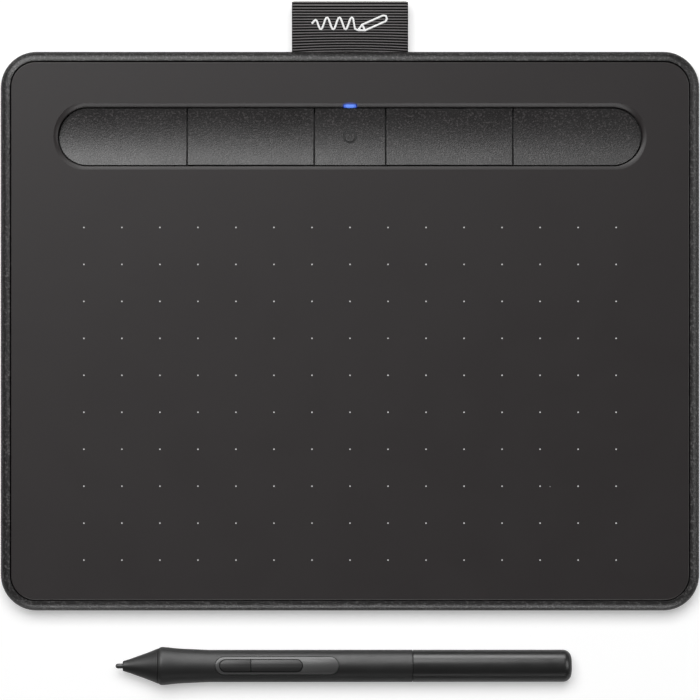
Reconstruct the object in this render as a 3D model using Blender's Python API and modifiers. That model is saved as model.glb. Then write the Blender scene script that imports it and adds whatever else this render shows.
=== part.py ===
"""A pen drawing tablet with its cordless pen, as an assembly of separate pieces.

Units are metres and +Z is up. Lengths are written in millimetres through MM or mm().
The tablet lies on its rubber feet with its keys towards +Y. The pen lies in front of it, tip towards -X.
Each object is one closed solid, placed in the tablet's frame or in the pen's frame, which are two empties.
"""

import math

import bmesh
import bpy
from mathutils import Matrix, Vector

MM = 0.001
TINY = 0.001 * MM


def mm(*values):
    """Millimetres to metres, for a point or a size."""
    return Vector([value * MM for value in values])


# ---- Driving dimensions of the tablet -------------------------------------------------------------
LENGTH, WIDTH = 200 * MM, 160 * MM  # along X and along Y
CORNER = 10.3 * MM  # plan radius of the casing's corners
TOP_Z = 8.8 * MM  # the drawing surface
RIM_Z = 8.5 * MM  # the casing's rim round it
UNDERSIDE_Z = 0.8 * MM  # the casing's underside, above the feet
FLOOR_Z = 2.0 * MM  # the inside of the casing's floor
BAND = 2.85 * MM  # the rim's width in plan, and the casing's wall
SEAM = 0.3 * MM  # the gap between the rim and the cover
COVER_THICKNESS = 1.5 * MM
COVER_UNDER_Z = TOP_Z - COVER_THICKNESS

# The key trough: a long slot with round ends, and the five keys that fill it.
TROUGH_Y = 55.55 * MM
KEYS_HALF_LENGTH, KEYS_HALF_WIDTH = 83.15 * MM, 8.1 * MM
KEY_GAP = 0.35 * MM  # round the keys
KEY_SPLITS = (10.2 * MM, 46.6 * MM)  # where the keys part, each side of the middle
KEY_FRONT_Z, KEY_BACK_Z = 8.45 * MM, 7.3 * MM  # the trough's height at its two long edges
TROUGH_RADIUS = 33 * MM  # of its hollow section
KEY_UNDER_Z = 6.0 * MM
FLARE_HALF_LENGTH, FLARE_HALF_WIDTH, FLARE_Y = 84.7 * MM, 9.55 * MM, 55.65 * MM  # its rim, at the surface
FLARE_Z = 7.5 * MM  # where the flare starts

BOARD_Z, BOARD_THICKNESS = 2.6 * MM, 0.8 * MM
BOARD_TOP_Z = BOARD_Z + BOARD_THICKNESS
REST = 0.05 * MM  # between a part and the board or plate that it sits on
SCREW_PLACES = tuple(mm(x, y, 0) for x in (-89.5, 89.5) for y in (-71, 12, 71))
FOOT_PLACES = tuple(mm(x, y, 0) for x in (-78.5, 78.5) for y in (-71, 71))
FOOT_SIZE = mm(33, 9, 1.1)
USB_CENTRE = mm(95.5, 55.5, 4.85)
BATTERY_CENTRE = mm(-34, -14, 3.75)
BATTERY_SIZE = mm(54, 34, 3.0)

# The woven loop on the back edge.
LOOP_WIDTH, LOOP_THICKNESS = 33.3 * MM, 0.8 * MM
LOOP_END_Y = 94.36 * MM  # its fold, from the tablet's middle
LOOP_AXIS = mm(0, 80.4, 4.45)  # it bends here
LOOP_BULGE = 1.45 * MM  # how far each layer stands off the middle, at most
LOOP_ROOT = 0.53 * MM  # and where the casing's slot nips it

# ---- Driving dimensions of the pen, along its axis from the tip -----------------------------------
PEN_LENGTH = 130.7 * MM
SHOULDER_X, SHOULDER_R = 13.3 * MM, 5.45 * MM
BARREL_R = 4.6 * MM
HEEL_X = 128.3 * MM  # where the barrel's end starts to round off
SPLIT_X = 85.15 * MM  # between the grip and the rear barrel
NIB_R, NIB_LENGTH = 0.72 * MM, 23 * MM
BORE_R = 3.65 * MM
BEZEL_X, BEZEL_WIDTH = (28.6 * MM, 64.1 * MM), 5.3 * MM
BUTTONS_X, BUTTON_WIDTH, BUTTON_SPLIT_X = (30.0 * MM, 53.6 * MM), 3.45 * MM, 38.9 * MM
PEN_TIP_X, PEN_Y = -67.2 * MM, -95.95 * MM  # from the tablet's middle
ROUND_STEPS = 32

# The origin is under the middle of the whole set, so the tablet's middle lies a little behind it.
TABLET_Y = -((PEN_Y - SHOULDER_R) + LOOP_END_Y) / 2
# The pen rests on its shoulder and on its heel, so its axis falls towards the heel.
PEN_TILT = math.atan((SHOULDER_R - BARREL_R) / (HEEL_X - SHOULDER_X))
PEN_TIP_Z = SHOULDER_X * math.sin(PEN_TILT) + SHOULDER_R * math.cos(PEN_TILT)
PEN_ROLL = math.radians(-6)  # its keys face slightly towards the tablet

# ---- Finishes: name, colour, roughness, metallic ---------------------------------------------------
FINISHES = {
    "casing_plastic": ((0.045, 0.044, 0.044), 0.55, 0.0),
    "surface_plastic": ((0.030, 0.029, 0.029), 0.50, 0.0),
    "key_plastic": ((0.045, 0.044, 0.044), 0.45, 0.0),
    "inner_plastic": ((0.08, 0.08, 0.085), 0.60, 0.0),
    "clear_plastic": ((0.35, 0.50, 0.95), 0.20, 0.0),
    "rubber": ((0.03, 0.03, 0.03), 0.85, 0.0),
    "ribbon": ((0.035, 0.034, 0.035), 0.90, 0.0),
    "circuit_board": ((0.02, 0.12, 0.05), 0.45, 0.0),
    "steel": ((0.60, 0.60, 0.61), 0.35, 1.0),
    "copper": ((0.72, 0.33, 0.18), 0.35, 1.0),
    "ferrite": ((0.06, 0.06, 0.065), 0.50, 0.0),
    "battery_wrap": ((0.50, 0.51, 0.53), 0.40, 0.0),
    "wire_red": ((0.55, 0.03, 0.03), 0.45, 0.0),
    "wire_black": ((0.02, 0.02, 0.02), 0.45, 0.0),
    "pen_matte": ((0.055, 0.055, 0.058), 0.55, 0.0),
    "pen_gloss": ((0.030, 0.030, 0.032), 0.18, 0.0),
    "nib_plastic": ((0.02, 0.02, 0.02), 0.40, 0.0),
}


# ---- Scene, materials and frames -------------------------------------------------------------------
def clear_scene():
    for old in list(bpy.data.objects):
        bpy.data.objects.remove(old, do_unlink=True)


def new_collection(name):
    collection = bpy.data.collections.new(name)
    bpy.context.scene.collection.children.link(collection)
    return collection


def material(finish):
    """The finish's Principled material, made at its first use."""
    found = bpy.data.materials.get(finish)
    if found:
        return found
    colour, roughness, metallic = FINISHES[finish]
    made = bpy.data.materials.new(finish)
    made.use_nodes = True
    shader = made.node_tree.nodes["Principled BSDF"]
    shader.inputs["Base Color"].default_value = (*colour, 1)
    shader.inputs["Roughness"].default_value = roughness
    shader.inputs["Metallic"].default_value = metallic
    made.diffuse_color = (*colour, 1)
    return made


def new_frame(name, place, tilt=0.0, roll=0.0):
    """An empty that holds the pieces of one half of the set."""
    frame = bpy.data.objects.new(name, None)
    PARTS.objects.link(frame)
    frame.location = place
    frame.rotation_euler = (roll, tilt, 0)
    return frame


# ---- Helpers that make shapes ----------------------------------------------------------------------
def place_mesh(name, bm, finish, frame, origin=None):
    """A named object from a bmesh, with its origin at the given point or at the middle of its bounds."""
    bmesh.ops.recalc_face_normals(bm, faces=bm.faces)
    if origin is None:
        along = [sorted(vertex.co[axis] for vertex in bm.verts) for axis in range(3)]
        origin = Vector([(values[0] + values[-1]) / 2 for values in along])
    bmesh.ops.translate(bm, verts=bm.verts, vec=-origin)
    mesh = bpy.data.meshes.new(name)
    bm.to_mesh(mesh)
    bm.free()
    mesh.materials.append(material(finish))
    piece = bpy.data.objects.new(name, mesh)
    piece.location = origin
    PARTS.objects.link(piece)
    piece.parent = frame
    return piece


def bevel_edges(bm, wanted, width, steps):
    edges = [edge for edge in bm.edges if wanted(edge)]
    bmesh.ops.bevel(bm, geom=edges, offset=width, segments=steps, profile=0.5, affect="EDGES")


def round_rims(bm, z_range, top, bottom, steps=1):
    """Rounds the flat edges at the top and at the bottom of an upright shape."""
    for height, width in zip(z_range, (bottom, top)):
        if width:
            bevel_edges(bm, lambda e: all(abs(v.co.z - height) < TINY for v in e.verts), width, steps)


def block(name, size, centre, finish, frame, corner=0, steps=4, top=0, bottom=0, rim_steps=1):
    """A box whose upright corners, top rim and bottom rim may be rounded."""
    bm = bmesh.new()
    bmesh.ops.create_cube(bm, size=1, matrix=Matrix.Translation(centre) @ Matrix.Diagonal((*size, 1)))
    if corner:
        bevel_edges(bm, lambda e: abs(e.verts[0].co.z - e.verts[1].co.z) > TINY, corner, steps)
    round_rims(bm, (centre[2] - size[2] / 2, centre[2] + size[2] / 2), top, bottom, rim_steps)
    return place_mesh(name, bm, finish, frame)


def spanned(name, low, high, finish, frame, **rounding):
    """A block given by its lowest and highest corners."""
    return block(name, high - low, (low + high) / 2, finish, frame, **rounding)


def pill(name, half_length, half_width, middle, z_range, finish, frame, steps=32, top=0, bottom=0):
    """An upright slab with round ends, long along X: a cylinder whose two halves are moved apart."""
    bm = bmesh.new()
    radius = half_width / math.cos(math.pi / steps)
    upright = Matrix.Translation((0, 0, sum(z_range) / 2)) @ Matrix.Rotation(math.pi / steps, 4, "Z")
    bmesh.ops.create_cone(bm, cap_ends=True, segments=steps, radius1=radius, radius2=radius,
                          depth=z_range[1] - z_range[0], matrix=upright)
    for vertex in bm.verts:
        vertex.co.x += math.copysign(half_length - half_width, vertex.co.x)
    bmesh.ops.translate(bm, verts=bm.verts, vec=(middle[0], middle[1], 0))
    round_rims(bm, z_range, top, bottom)
    return place_mesh(name, bm, finish, frame)


def post(name, radius, z_range, place, finish, frame, steps=16):
    """An upright cylinder."""
    bm = bmesh.new()
    middle = Vector((place[0], place[1], sum(z_range) / 2))
    depth = z_range[1] - z_range[0]
    bmesh.ops.create_cone(bm, cap_ends=True, segments=steps, radius1=radius, radius2=radius,
                          depth=depth, matrix=Matrix.Translation(middle))
    return place_mesh(name, bm, finish, frame)


def turned(name, outline, finish, frame, steps=ROUND_STEPS, along_pen=True, place=(0, 0, 0)):
    """A turned piece. The outline's points are (along, radius) in millimetres, front to back on the outside.

    A solid's outline starts and ends on the axis, and so does a cup's, which starts at the end of its bore.
    Any other outline is a ring's, and its last point joins its first.
    """
    bm = bmesh.new()
    points = [bm.verts.new(mm(radius, 0, along)) for along, radius in reversed(outline)]
    for first, second in zip(points, points[1:]):
        bm.edges.new((first, second))
    if outline[0][1] > 0:
        bm.edges.new((points[-1], points[0]))
    mesh = bpy.data.meshes.new(name)
    bm.to_mesh(mesh)
    bm.free()
    mesh.materials.append(material(finish))
    piece = bpy.data.objects.new(name, mesh)
    piece.location = place
    if along_pen:
        piece.rotation_euler = (0, math.pi / 2, 0)
    PARTS.objects.link(piece)
    piece.parent = frame
    screw = piece.modifiers.new("Turn", "SCREW")
    screw.steps = screw.render_steps = steps
    screw.use_merge_vertices = True
    screw.merge_threshold = 0.001 * MM
    return piece


def extruded(name, outline, x_range, finish, frame):
    """A flat outline of (y, z) points carried along X."""
    bm = bmesh.new()
    points = [bm.verts.new((x_range[0], y, z)) for y, z in outline]
    face = bm.faces.new(points)
    moved = bmesh.ops.extrude_face_region(bm, geom=[face])["geom"]
    verts = [item for item in moved if isinstance(item, bmesh.types.BMVert)]
    bmesh.ops.translate(bm, verts=verts, vec=(x_range[1] - x_range[0], 0, 0))
    return place_mesh(name, bm, finish, frame)


# ---- Helpers that cut and join ---------------------------------------------------------------------
def as_helper(piece):
    """Marks a cutter, or a shape that a piece has taken in."""
    PARTS.objects.unlink(piece)
    CUTTERS.objects.link(piece)
    piece.hide_render = True
    piece.display_type = "WIRE"


def combine(piece, operation, others):
    for other in others:
        step = piece.modifiers.new(other.name, "BOOLEAN")
        step.operation = operation
        step.object = other
        if other.name in PARTS.objects:
            as_helper(other)
    return piece


def cut(piece, *cutters):
    return combine(piece, "DIFFERENCE", cutters)


def join(piece, *others):
    return combine(piece, "UNION", others)


def keep_inside(piece, *others):
    return combine(piece, "INTERSECT", others)


# ---- The tablet's casing ---------------------------------------------------------------------------
def foot_recess(index, place, frame):
    clearance, depth = 0.3 * MM, (UNDERSIDE_Z - 0.3 * MM, 1.2 * MM)
    return pill(f"cut_foot_{index}", FOOT_SIZE.x / 2 + clearance, FOOT_SIZE.y / 2 + clearance, place, depth,
                "casing_plastic", frame, steps=24)


def rear_housing(frame):
    """The lower casing: floor, walls and rim in one moulding, with its pads, ribs and openings."""
    name, finish = "rear_housing", "casing_plastic"
    housing = spanned(name, Vector((-LENGTH / 2, -WIDTH / 2, UNDERSIDE_Z)), Vector((LENGTH / 2, WIDTH / 2, RIM_Z)),
                      finish, frame, corner=CORNER, steps=6, top=2.4 * MM, bottom=3.0 * MM, rim_steps=3)
    inside = Vector((LENGTH / 2 - BAND, WIDTH / 2 - BAND, 0))
    cavity = spanned("cut_cavity", Vector((-inside.x, -inside.y, FLOOR_Z)), inside + mm(0, 0, 10),
                     finish, frame, corner=CORNER - BAND, steps=6)
    cut(housing, cavity)

    pad_z, head_z, hole_z = (1.9 * MM, 3.3 * MM), (0.4 * MM, 2.1 * MM), (0.4 * MM, 4 * MM)
    for index, place in enumerate(SCREW_PLACES):
        join(housing, post(f"add_pad_{index}", 3.4 * MM, pad_z, place, finish, frame))
        cut(housing, post(f"cut_head_{index}", 2.3 * MM, head_z, place, finish, frame),
            post(f"cut_hole_{index}", 1.35 * MM, hole_z, place, finish, frame))
    for index, place in enumerate(FOOT_PLACES):
        cut(housing, foot_recess(index, place, frame))

    standoff_z = (1.9 * MM, BOARD_Z - REST)
    for index, place in enumerate([mm(x, y, 0) for x in (-80, 0, 80) for y in (46.5, 64.5)]):
        join(housing, post(f"add_standoff_{index}", 1.6 * MM, standoff_z, place, finish, frame, steps=10))
    rib, rib_top = 1.2 * MM, 3.0 * MM
    fence_size = BATTERY_SIZE + mm(1, 1, 0)
    fence_z = (1.9 * MM + rib_top) / 2
    middle = Vector((BATTERY_CENTRE.x, BATTERY_CENTRE.y, fence_z))
    fence = block("add_fence", (fence_size.x + 2 * rib, fence_size.y + 2 * rib, rib_top - 1.9 * MM), middle,
                  finish, frame)
    cut(fence, block("cut_fence", (fence_size.x, fence_size.y, 4 * MM), middle, finish, frame))
    join(housing, fence)

    socket_hole = mm(8, 8.4, 3.4)
    cut(housing, block("cut_usb_port", socket_hole, USB_CENTRE + mm(4, 0, 0), finish, frame))
    slot_size = Vector((LOOP_WIDTH + 0.8 * MM, 5 * MM, 3.2 * MM))
    cut(housing, block("cut_loop_slot", slot_size, mm(0, 79.5, 4.45), finish, frame))
    pedestal_low, pedestal_high = mm(-17, 71.8, 1.9), mm(17, 76.8, 3.45)
    join(housing, spanned("add_pedestal", pedestal_low, pedestal_high, finish, frame))
    for index, x in enumerate((-20.5, 20.5)):
        place = mm(x, 74.3, 0)
        join(housing, post(f"add_stake_{index}", 0.9 * MM, (1.9 * MM, 6.7 * MM), place, finish, frame, steps=10),
             post(f"add_stake_foot_{index}", 2 * MM, (1.85 * MM, 5.35 * MM), place, finish, frame, steps=10))
    return housing


def trough_opening(frame):
    """Two cutters: the slot that the keys stand in, and the flare that runs up to the surface."""
    half_length, half_width = KEYS_HALF_LENGTH + KEY_GAP, KEYS_HALF_WIDTH + KEY_GAP
    middle, finish = (0, TROUGH_Y), "surface_plastic"
    slot = pill("cut_trough", half_length, half_width, middle, (5 * MM, 10 * MM), finish, frame)
    flare = pill("cut_flare", half_length, half_width, middle, (FLARE_Z, TOP_Z + 0.1 * MM), finish, frame)
    wider, broader = FLARE_HALF_LENGTH / half_length, FLARE_HALF_WIDTH / half_width
    for vertex in flare.data.vertices:
        if vertex.co.z > 0:
            vertex.co.x *= wider
            vertex.co.y = vertex.co.y * broader + (FLARE_Y - TROUGH_Y)
    return slot, flare


def top_cover(frame):
    """The plate that is drawn on, with its screw bosses and the collar round the keys."""
    finish = "surface_plastic"
    reach = Vector((LENGTH / 2 - BAND - SEAM, WIDTH / 2 - BAND - SEAM, TOP_Z))
    cover = spanned("top_cover", Vector((-reach.x, -reach.y, COVER_UNDER_Z)), reach, finish, frame,
                    corner=CORNER - BAND - SEAM, steps=6, top=0.2 * MM)
    collar_z = (6.2 * MM, COVER_UNDER_Z + 0.3 * MM)
    join(cover, pill("add_collar", 85.2 * MM, 9.3 * MM, (0, TROUGH_Y), collar_z, finish, frame))
    boss_z, pilot_z = (3.4 * MM, COVER_UNDER_Z + 0.2 * MM), (3 * MM, 7.1 * MM)
    for index, place in enumerate(SCREW_PLACES):
        join(cover, post(f"add_boss_{index}", 2.7 * MM, boss_z, place, finish, frame))
        cut(cover, post(f"cut_pilot_{index}", 1.15 * MM, pilot_z, place, finish, frame, steps=12))
    cut(cover, *trough_opening(frame))
    cut(cover, spanned("cut_light_window", mm(-1.95, 63.9, 5), mm(1.95, 64.9, 10), finish, frame))
    return cover


def foot(index, place, frame):
    return pill(f"rubber_foot_{index}", FOOT_SIZE.x / 2, FOOT_SIZE.y / 2, place, (0, FOOT_SIZE.z), "rubber", frame,
                steps=24, bottom=0.35 * MM)


def casing_screw(index, place, frame):
    """A pan-head screw driven up from below, through the housing into a boss of the cover."""
    outline = [(1.35, 0), (1.35, 1.7), (1.6, 2.05), (2.05, 2.05), (2.05, 0.95), (6.5, 0.95), (6.9, 0.4), (6.9, 0)]
    screw = turned(f"casing_screw_{index}", outline, "steel", frame, steps=12, along_pen=False, place=place)
    for number, size in enumerate((mm(2.2, 0.5, 0.8), mm(0.5, 2.2, 0.8))):
        centre = place + mm(0, 0, 1.35)
        cut(screw, block(f"cut_drive_{index}_{number}", size, centre, "steel", frame))
    return screw


# ---- The keys --------------------------------------------------------------------------------------
def trough_section(steps=12):
    """The keys' section across the trough: a flat underside and a hollow top, an arc between two edges."""
    front, back = TROUGH_Y - KEYS_HALF_WIDTH, TROUGH_Y + KEYS_HALF_WIDTH
    chord = Vector((back - front, KEY_BACK_Z - KEY_FRONT_Z))
    half_angle = math.asin(chord.length / 2 / TROUGH_RADIUS)
    lean = math.atan2(chord.y, chord.x)
    middle = Vector((front, KEY_FRONT_Z)) + chord / 2
    rise = TROUGH_RADIUS * math.cos(half_angle)
    centre = middle + rise * Vector((-math.sin(lean), math.cos(lean)))
    points = [(back, KEY_UNDER_Z), (front, KEY_UNDER_Z)]
    for step in range(steps + 1):
        angle = lean - half_angle + 2 * half_angle * step / steps
        points.append((centre.x + TROUGH_RADIUS * math.sin(angle), centre.y - TROUGH_RADIUS * math.cos(angle)))
    return points


def key(name, x_range, frame):
    """One key: its hollow cap, the flange that holds it under the collar, and the stem over its switch."""
    finish = "key_plastic"
    cap = extruded(name, trough_section(), x_range, finish, frame)
    square_inset, round_inset = 2.5 * MM, 8.5 * MM
    left_inset, right_inset = (round_inset if abs(x) == KEYS_HALF_LENGTH else square_inset for x in x_range)
    if round_inset in (left_inset, right_inset):
        ends = pill(f"keep_{name}", KEYS_HALF_LENGTH, KEYS_HALF_WIDTH, (0, TROUGH_Y), (5 * MM, 10 * MM), finish,
                    frame)
        keep_inside(cap, ends)
    flange_back = (63.9 if name == "power_key" else 64.25) * MM  # the light guide passes behind the power key
    flange = spanned(f"add_flange_{name}", Vector((x_range[0] + left_inset, 46.85 * MM, 5.75 * MM)),
                     Vector((x_range[1] - right_inset, flange_back, 6.1 * MM)), finish, frame)
    middle = Vector((sum(x_range) / 2, TROUGH_Y, 0))
    stem = post(f"add_stem_{name}", 1.6 * MM, (4.9 * MM, 6.05 * MM), middle, finish, frame, steps=10)
    return join(cap, flange, stem)


def key_ranges():
    """Each key's name and its stretch of X, left to right."""
    half_gap = 0.2 * MM
    inner, outer = KEY_SPLITS
    return {
        "express_key_1": (-KEYS_HALF_LENGTH, -outer - half_gap),
        "express_key_2": (-outer + half_gap, -inner - half_gap),
        "power_key": (-inner + half_gap, inner - half_gap),
        "express_key_3": (inner + half_gap, outer - half_gap),
        "express_key_4": (outer + half_gap, KEYS_HALF_LENGTH),
    }


def key_frame(frame):
    """The carrier under the keys, with a hole for each stem and a slot for the light guide."""
    finish = "inner_plastic"
    carrier = spanned("key_frame", mm(-86, 44.8, 4.55), mm(86, 66.4, 5.15), finish, frame, corner=3 * MM, steps=3)
    for name, x_range in key_ranges().items():
        middle = Vector((sum(x_range) / 2, TROUGH_Y, 0))
        cut(carrier, post(f"cut_stem_{name}", 2.2 * MM, (4 * MM, 6 * MM), middle, finish, frame, steps=12))
    return cut(carrier, spanned("cut_guide_slot", mm(-2.3, 63.7, 4), mm(2.3, 65.2, 6), finish, frame))


def tact_switch(name, place, frame):
    switch = block(name, mm(4.6, 4.6, 0.6), Vector((place.x, place.y, BOARD_TOP_Z + REST + 0.3 * MM)),
                   "inner_plastic", frame)
    top = (BOARD_TOP_Z + 0.4 * MM, 4.3 * MM)
    return join(switch, post(f"add_{name}", 1.2 * MM, top, place, "inner_plastic", frame, steps=10))


def light_guide(frame):
    """The clear bar that carries the lamp's light up to the trough's back edge."""
    outline = [mm(64.1, 4.25), mm(64.75, 4.25), mm(64.75, 8.2), mm(64.1, 7.55)]
    half_width = 1.85 * MM
    return extruded("light_guide", outline, (-half_width, half_width), "clear_plastic", frame)


# ---- The tablet's electronics ----------------------------------------------------------------------
def usb_socket(frame):
    """A small steel socket, open towards +X, with its tongue."""
    body, mouth, tongue = mm(5.8, 7.6, 2.7), mm(5.4, 6.9, 2.0), mm(4.6, 3.8, 0.6)
    socket = block("usb_socket", body, USB_CENTRE, "steel", frame)
    cut(socket, block("cut_usb_mouth", mouth, USB_CENTRE + mm(0.5, 0, 0), "steel", frame))
    return join(socket, block("add_usb_tongue", tongue, USB_CENTRE + mm(-0.25, 0, 0.35), "steel", frame))


def flex_cable(frame):
    """The flat cable from the sensor board down to the main board, in one soft bend."""
    high, low, start, bend, end = 6.2 * MM, 3.95 * MM, 31.6 * MM, (34.6 * MM, 41.5 * MM), 43.9 * MM
    steps, width, thickness = 10, 24 * MM, 0.2 * MM
    path = [(start, high)]
    for step in range(steps + 1):
        share = step / steps
        drop = (1 - math.cos(math.pi * share)) / 2
        path.append((bend[0] + (bend[1] - bend[0]) * share, high + (low - high) * drop))
    path.append((end, low))
    bm = bmesh.new()
    points = [bm.verts.new((-width / 2, y, z)) for y, z in path]
    edges = [bm.edges.new(pair) for pair in zip(points, points[1:])]
    moved = bmesh.ops.extrude_edge_only(bm, edges=edges)["geom"]
    bmesh.ops.translate(bm, verts=[v for v in moved if isinstance(v, bmesh.types.BMVert)], vec=(width, 0, 0))
    cable = place_mesh("flex_cable", bm, "copper", frame)
    solidify = cable.modifiers.new("Thickness", "SOLIDIFY")
    solidify.thickness, solidify.offset = thickness, 0
    return cable


def battery_lead(name, finish, side, frame):
    """One wire of the battery's lead: over the fence, along the floor and up to its connector."""
    x = BATTERY_CENTRE.x / MM + side
    route = [(x, 3.3, 4.3), (x, 6.5, 4.0), (x - 0.8, 13, 2.75), (x - 1.5, 24, 2.6), (x - 0.6, 34, 2.9),
             (x, 40, 3.85), (x, 43.8, 3.95)]
    curve = bpy.data.curves.new(name, "CURVE")
    curve.dimensions, curve.bevel_depth, curve.bevel_resolution = "3D", 0.42 * MM, 1
    curve.use_fill_caps, curve.resolution_u = True, 4
    spline = curve.splines.new("BEZIER")
    spline.bezier_points.add(len(route) - 1)
    for point, place in zip(spline.bezier_points, route):
        point.co = mm(*place)
        point.handle_left_type = point.handle_right_type = "AUTO"
    curve.materials.append(material(finish))
    wire = bpy.data.objects.new(name, curve)
    PARTS.objects.link(wire)
    wire.parent = frame
    return wire


def electronics(frame):
    """The sensor board and its shield, the main board and what stands on it, and the battery."""
    spanned("sensor_board", mm(-81, -70.4, 6.4), mm(81, 34.6, 7.2), "circuit_board", frame, corner=1.5 * MM, steps=2)
    spanned("shield_plate", mm(-80, -69, 6.0), mm(80, 31, 6.3), "steel", frame, corner=1.5 * MM, steps=2)
    spanned("main_board", Vector((-88 * MM, 43.6 * MM, BOARD_Z)), Vector((96.6 * MM, 67.2 * MM, BOARD_TOP_Z)),
            "circuit_board", frame, corner=1 * MM, steps=2)
    base = BOARD_TOP_Z + REST
    on_board = {
        "radio_module": (mm(-80, 58, 0), mm(12, 9, 0.95), "steel"),
        "controller_chip": (mm(-17, 60, 0), mm(7, 7, 0.8), "inner_plastic"),
        "flex_connector": (mm(0, 45.8, 0), mm(26, 3.6, 1.0), "inner_plastic"),
        "battery_connector": (mm(-34, 45.8, 0), mm(5, 3.6, 1.0), "inner_plastic"),
        "status_led": (mm(0, 64.4, 0), mm(1.6, 0.8, 0.55), "clear_plastic"),
    }
    for name, (place, size, finish) in on_board.items():
        block(name, size, Vector((place.x, place.y, base + size.z / 2)), finish, frame)
    for name, x_range in key_ranges().items():
        tact_switch(f"switch_{name}", Vector((sum(x_range) / 2, TROUGH_Y, 0)), frame)
    block("battery", BATTERY_SIZE, BATTERY_CENTRE, "battery_wrap", frame, corner=2 * MM, steps=3,
          top=0.6 * MM, bottom=0.6 * MM)
    battery_lead("battery_lead_red", "wire_red", -0.9, frame)
    battery_lead("battery_lead_black", "wire_black", 0.9, frame)
    usb_socket(frame)
    flex_cable(frame)


# ---- The woven loop --------------------------------------------------------------------------------
def loop_offset(share):
    """How far a layer stands off the middle, from the slot (0) to the fold (1)."""
    swell = math.sin(math.pi / 2 * min(share / 0.5, 1))
    return LOOP_ROOT + (LOOP_BULGE - LOOP_ROOT) * swell * (1 - 0.2 * share)


def pen_loop(frame):
    """The part of the ribbon that stands out of the casing: out along the top, round the fold and back."""
    start, end = LOOP_AXIS.y + 0.15 * MM, LOOP_END_Y - LOOP_THICKNESS / 2
    fold_radius = loop_offset(1)
    straight_end = end - fold_radius
    upper = []
    for step in range(11):
        share = step / 10
        upper.append((start + (straight_end - start) * share, loop_offset(share)))
    fold = []
    for step in range(1, 8):
        angle = math.pi / 2 - math.pi * step / 8
        fold.append((straight_end + fold_radius * math.cos(angle), fold_radius * math.sin(angle)))
    lower = [(y, -offset) for y, offset in reversed(upper)]
    bm = bmesh.new()
    points = [bm.verts.new((-LOOP_WIDTH / 2, y, LOOP_AXIS.z + offset)) for y, offset in upper + fold + lower]
    edges = [bm.edges.new(pair) for pair in zip(points, points[1:])]
    moved = bmesh.ops.extrude_edge_only(bm, edges=edges)["geom"]
    bmesh.ops.translate(bm, verts=[v for v in moved if isinstance(v, bmesh.types.BMVert)], vec=(LOOP_WIDTH, 0, 0))
    loop = place_mesh("pen_loop", bm, "ribbon", frame, origin=LOOP_AXIS)
    solidify = loop.modifiers.new("Cloth", "SOLIDIFY")
    solidify.thickness, solidify.offset = LOOP_THICKNESS, 0
    return loop


def loop_holding(frame):
    """The ribbon's two ends inside the casing, and the bar that nips them."""
    half_width, thickness = LOOP_WIDTH / 2, 2 * LOOP_ROOT + LOOP_THICKNESS
    spanned("pen_loop_tail", Vector((-half_width, 72 * MM, LOOP_AXIS.z - thickness / 2)),
            Vector((half_width, 79.2 * MM, LOOP_AXIS.z + thickness / 2)), "ribbon", frame)
    clamp = spanned("loop_clamp", mm(-24, 71.8, 5.45), mm(24, 76.8, 6.35), "inner_plastic", frame,
                    corner=1 * MM, steps=2)
    for index, x in enumerate((-20.5, 20.5)):
        cut(clamp, post(f"cut_stake_{index}", 1.1 * MM, (5 * MM, 7 * MM), mm(x, 74.3, 0), "inner_plastic", frame,
                        steps=12))


# ---- The pen's shells ------------------------------------------------------------------------------
def along_axis(name, radius, x_range, frame, steps=ROUND_STEPS):
    """A plain round bar along the pen's axis, for cutting."""
    start, end = (value / MM for value in x_range)
    return turned(name, [(start, 0), (start, radius / MM), (end, radius / MM), (end, 0)], "pen_matte", frame,
                  steps=steps)


def pen_slab(name, x_range, width, z_range, finish, frame, top=0):
    """An upright slab with round ends, over a stretch of the pen."""
    middle, half_length = (sum(x_range) / 2, 0), (x_range[1] - x_range[0]) / 2
    return pill(name, half_length, width / 2, middle, z_range, finish, frame, steps=24, top=top)


def pen_shells(frame):
    """The nose cone, the grip with its key window and stub, and the rear barrel that pulls off the stub."""
    turned("pen_nose", [(2.1, 1.2), (2.4, 1.46), (6.0, 2.62), (9.4, 3.85), (12.2, 5.05), (12.2, 3.5), (13.2, 3.5),
                        (13.2, 2.9), (10.5, 2.9), (4.4, 0.95), (2.1, 0.95)], "pen_matte", frame)
    shoulder = [(12.3, 5.1), (12.8, 5.36), (SHOULDER_X / MM, SHOULDER_R / MM), (14.2, 5.42), (16.5, 5.14),
                (19, 4.92), (22, 4.74), (25.5, 4.62)]
    barrel, bore, split = BARREL_R / MM, BORE_R / MM, SPLIT_X / MM
    grip = turned("pen_grip", [*shoulder, (29, barrel), (split - 0.05, barrel), (split - 0.05, 3.9), (96, 3.9),
                               (96, 3.42), (84, 3.42), (83.7, bore), (12.3, bore)], "pen_matte", frame)
    window = (1.5 * MM, 6 * MM)
    cut(grip, pen_slab("cut_bezel", BEZEL_X, BEZEL_WIDTH, window, "pen_matte", frame))
    heel = HEEL_X / MM
    cup_bore = [(127.5, 0), (127.5, 3.6), (97.5, 3.6), (97.5, 4.02), (split + 0.05, 4.02)]
    cup_outside = [(split + 0.05, barrel), (heel, barrel), (heel + 0.92, 4.42), (heel + 1.7, 3.9),
                   (heel + 2.22, 3.12), (PEN_LENGTH / MM, 2.2), (PEN_LENGTH / MM, 0)]
    turned("pen_rear_barrel", cup_bore + cup_outside, "pen_gloss", frame)


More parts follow.
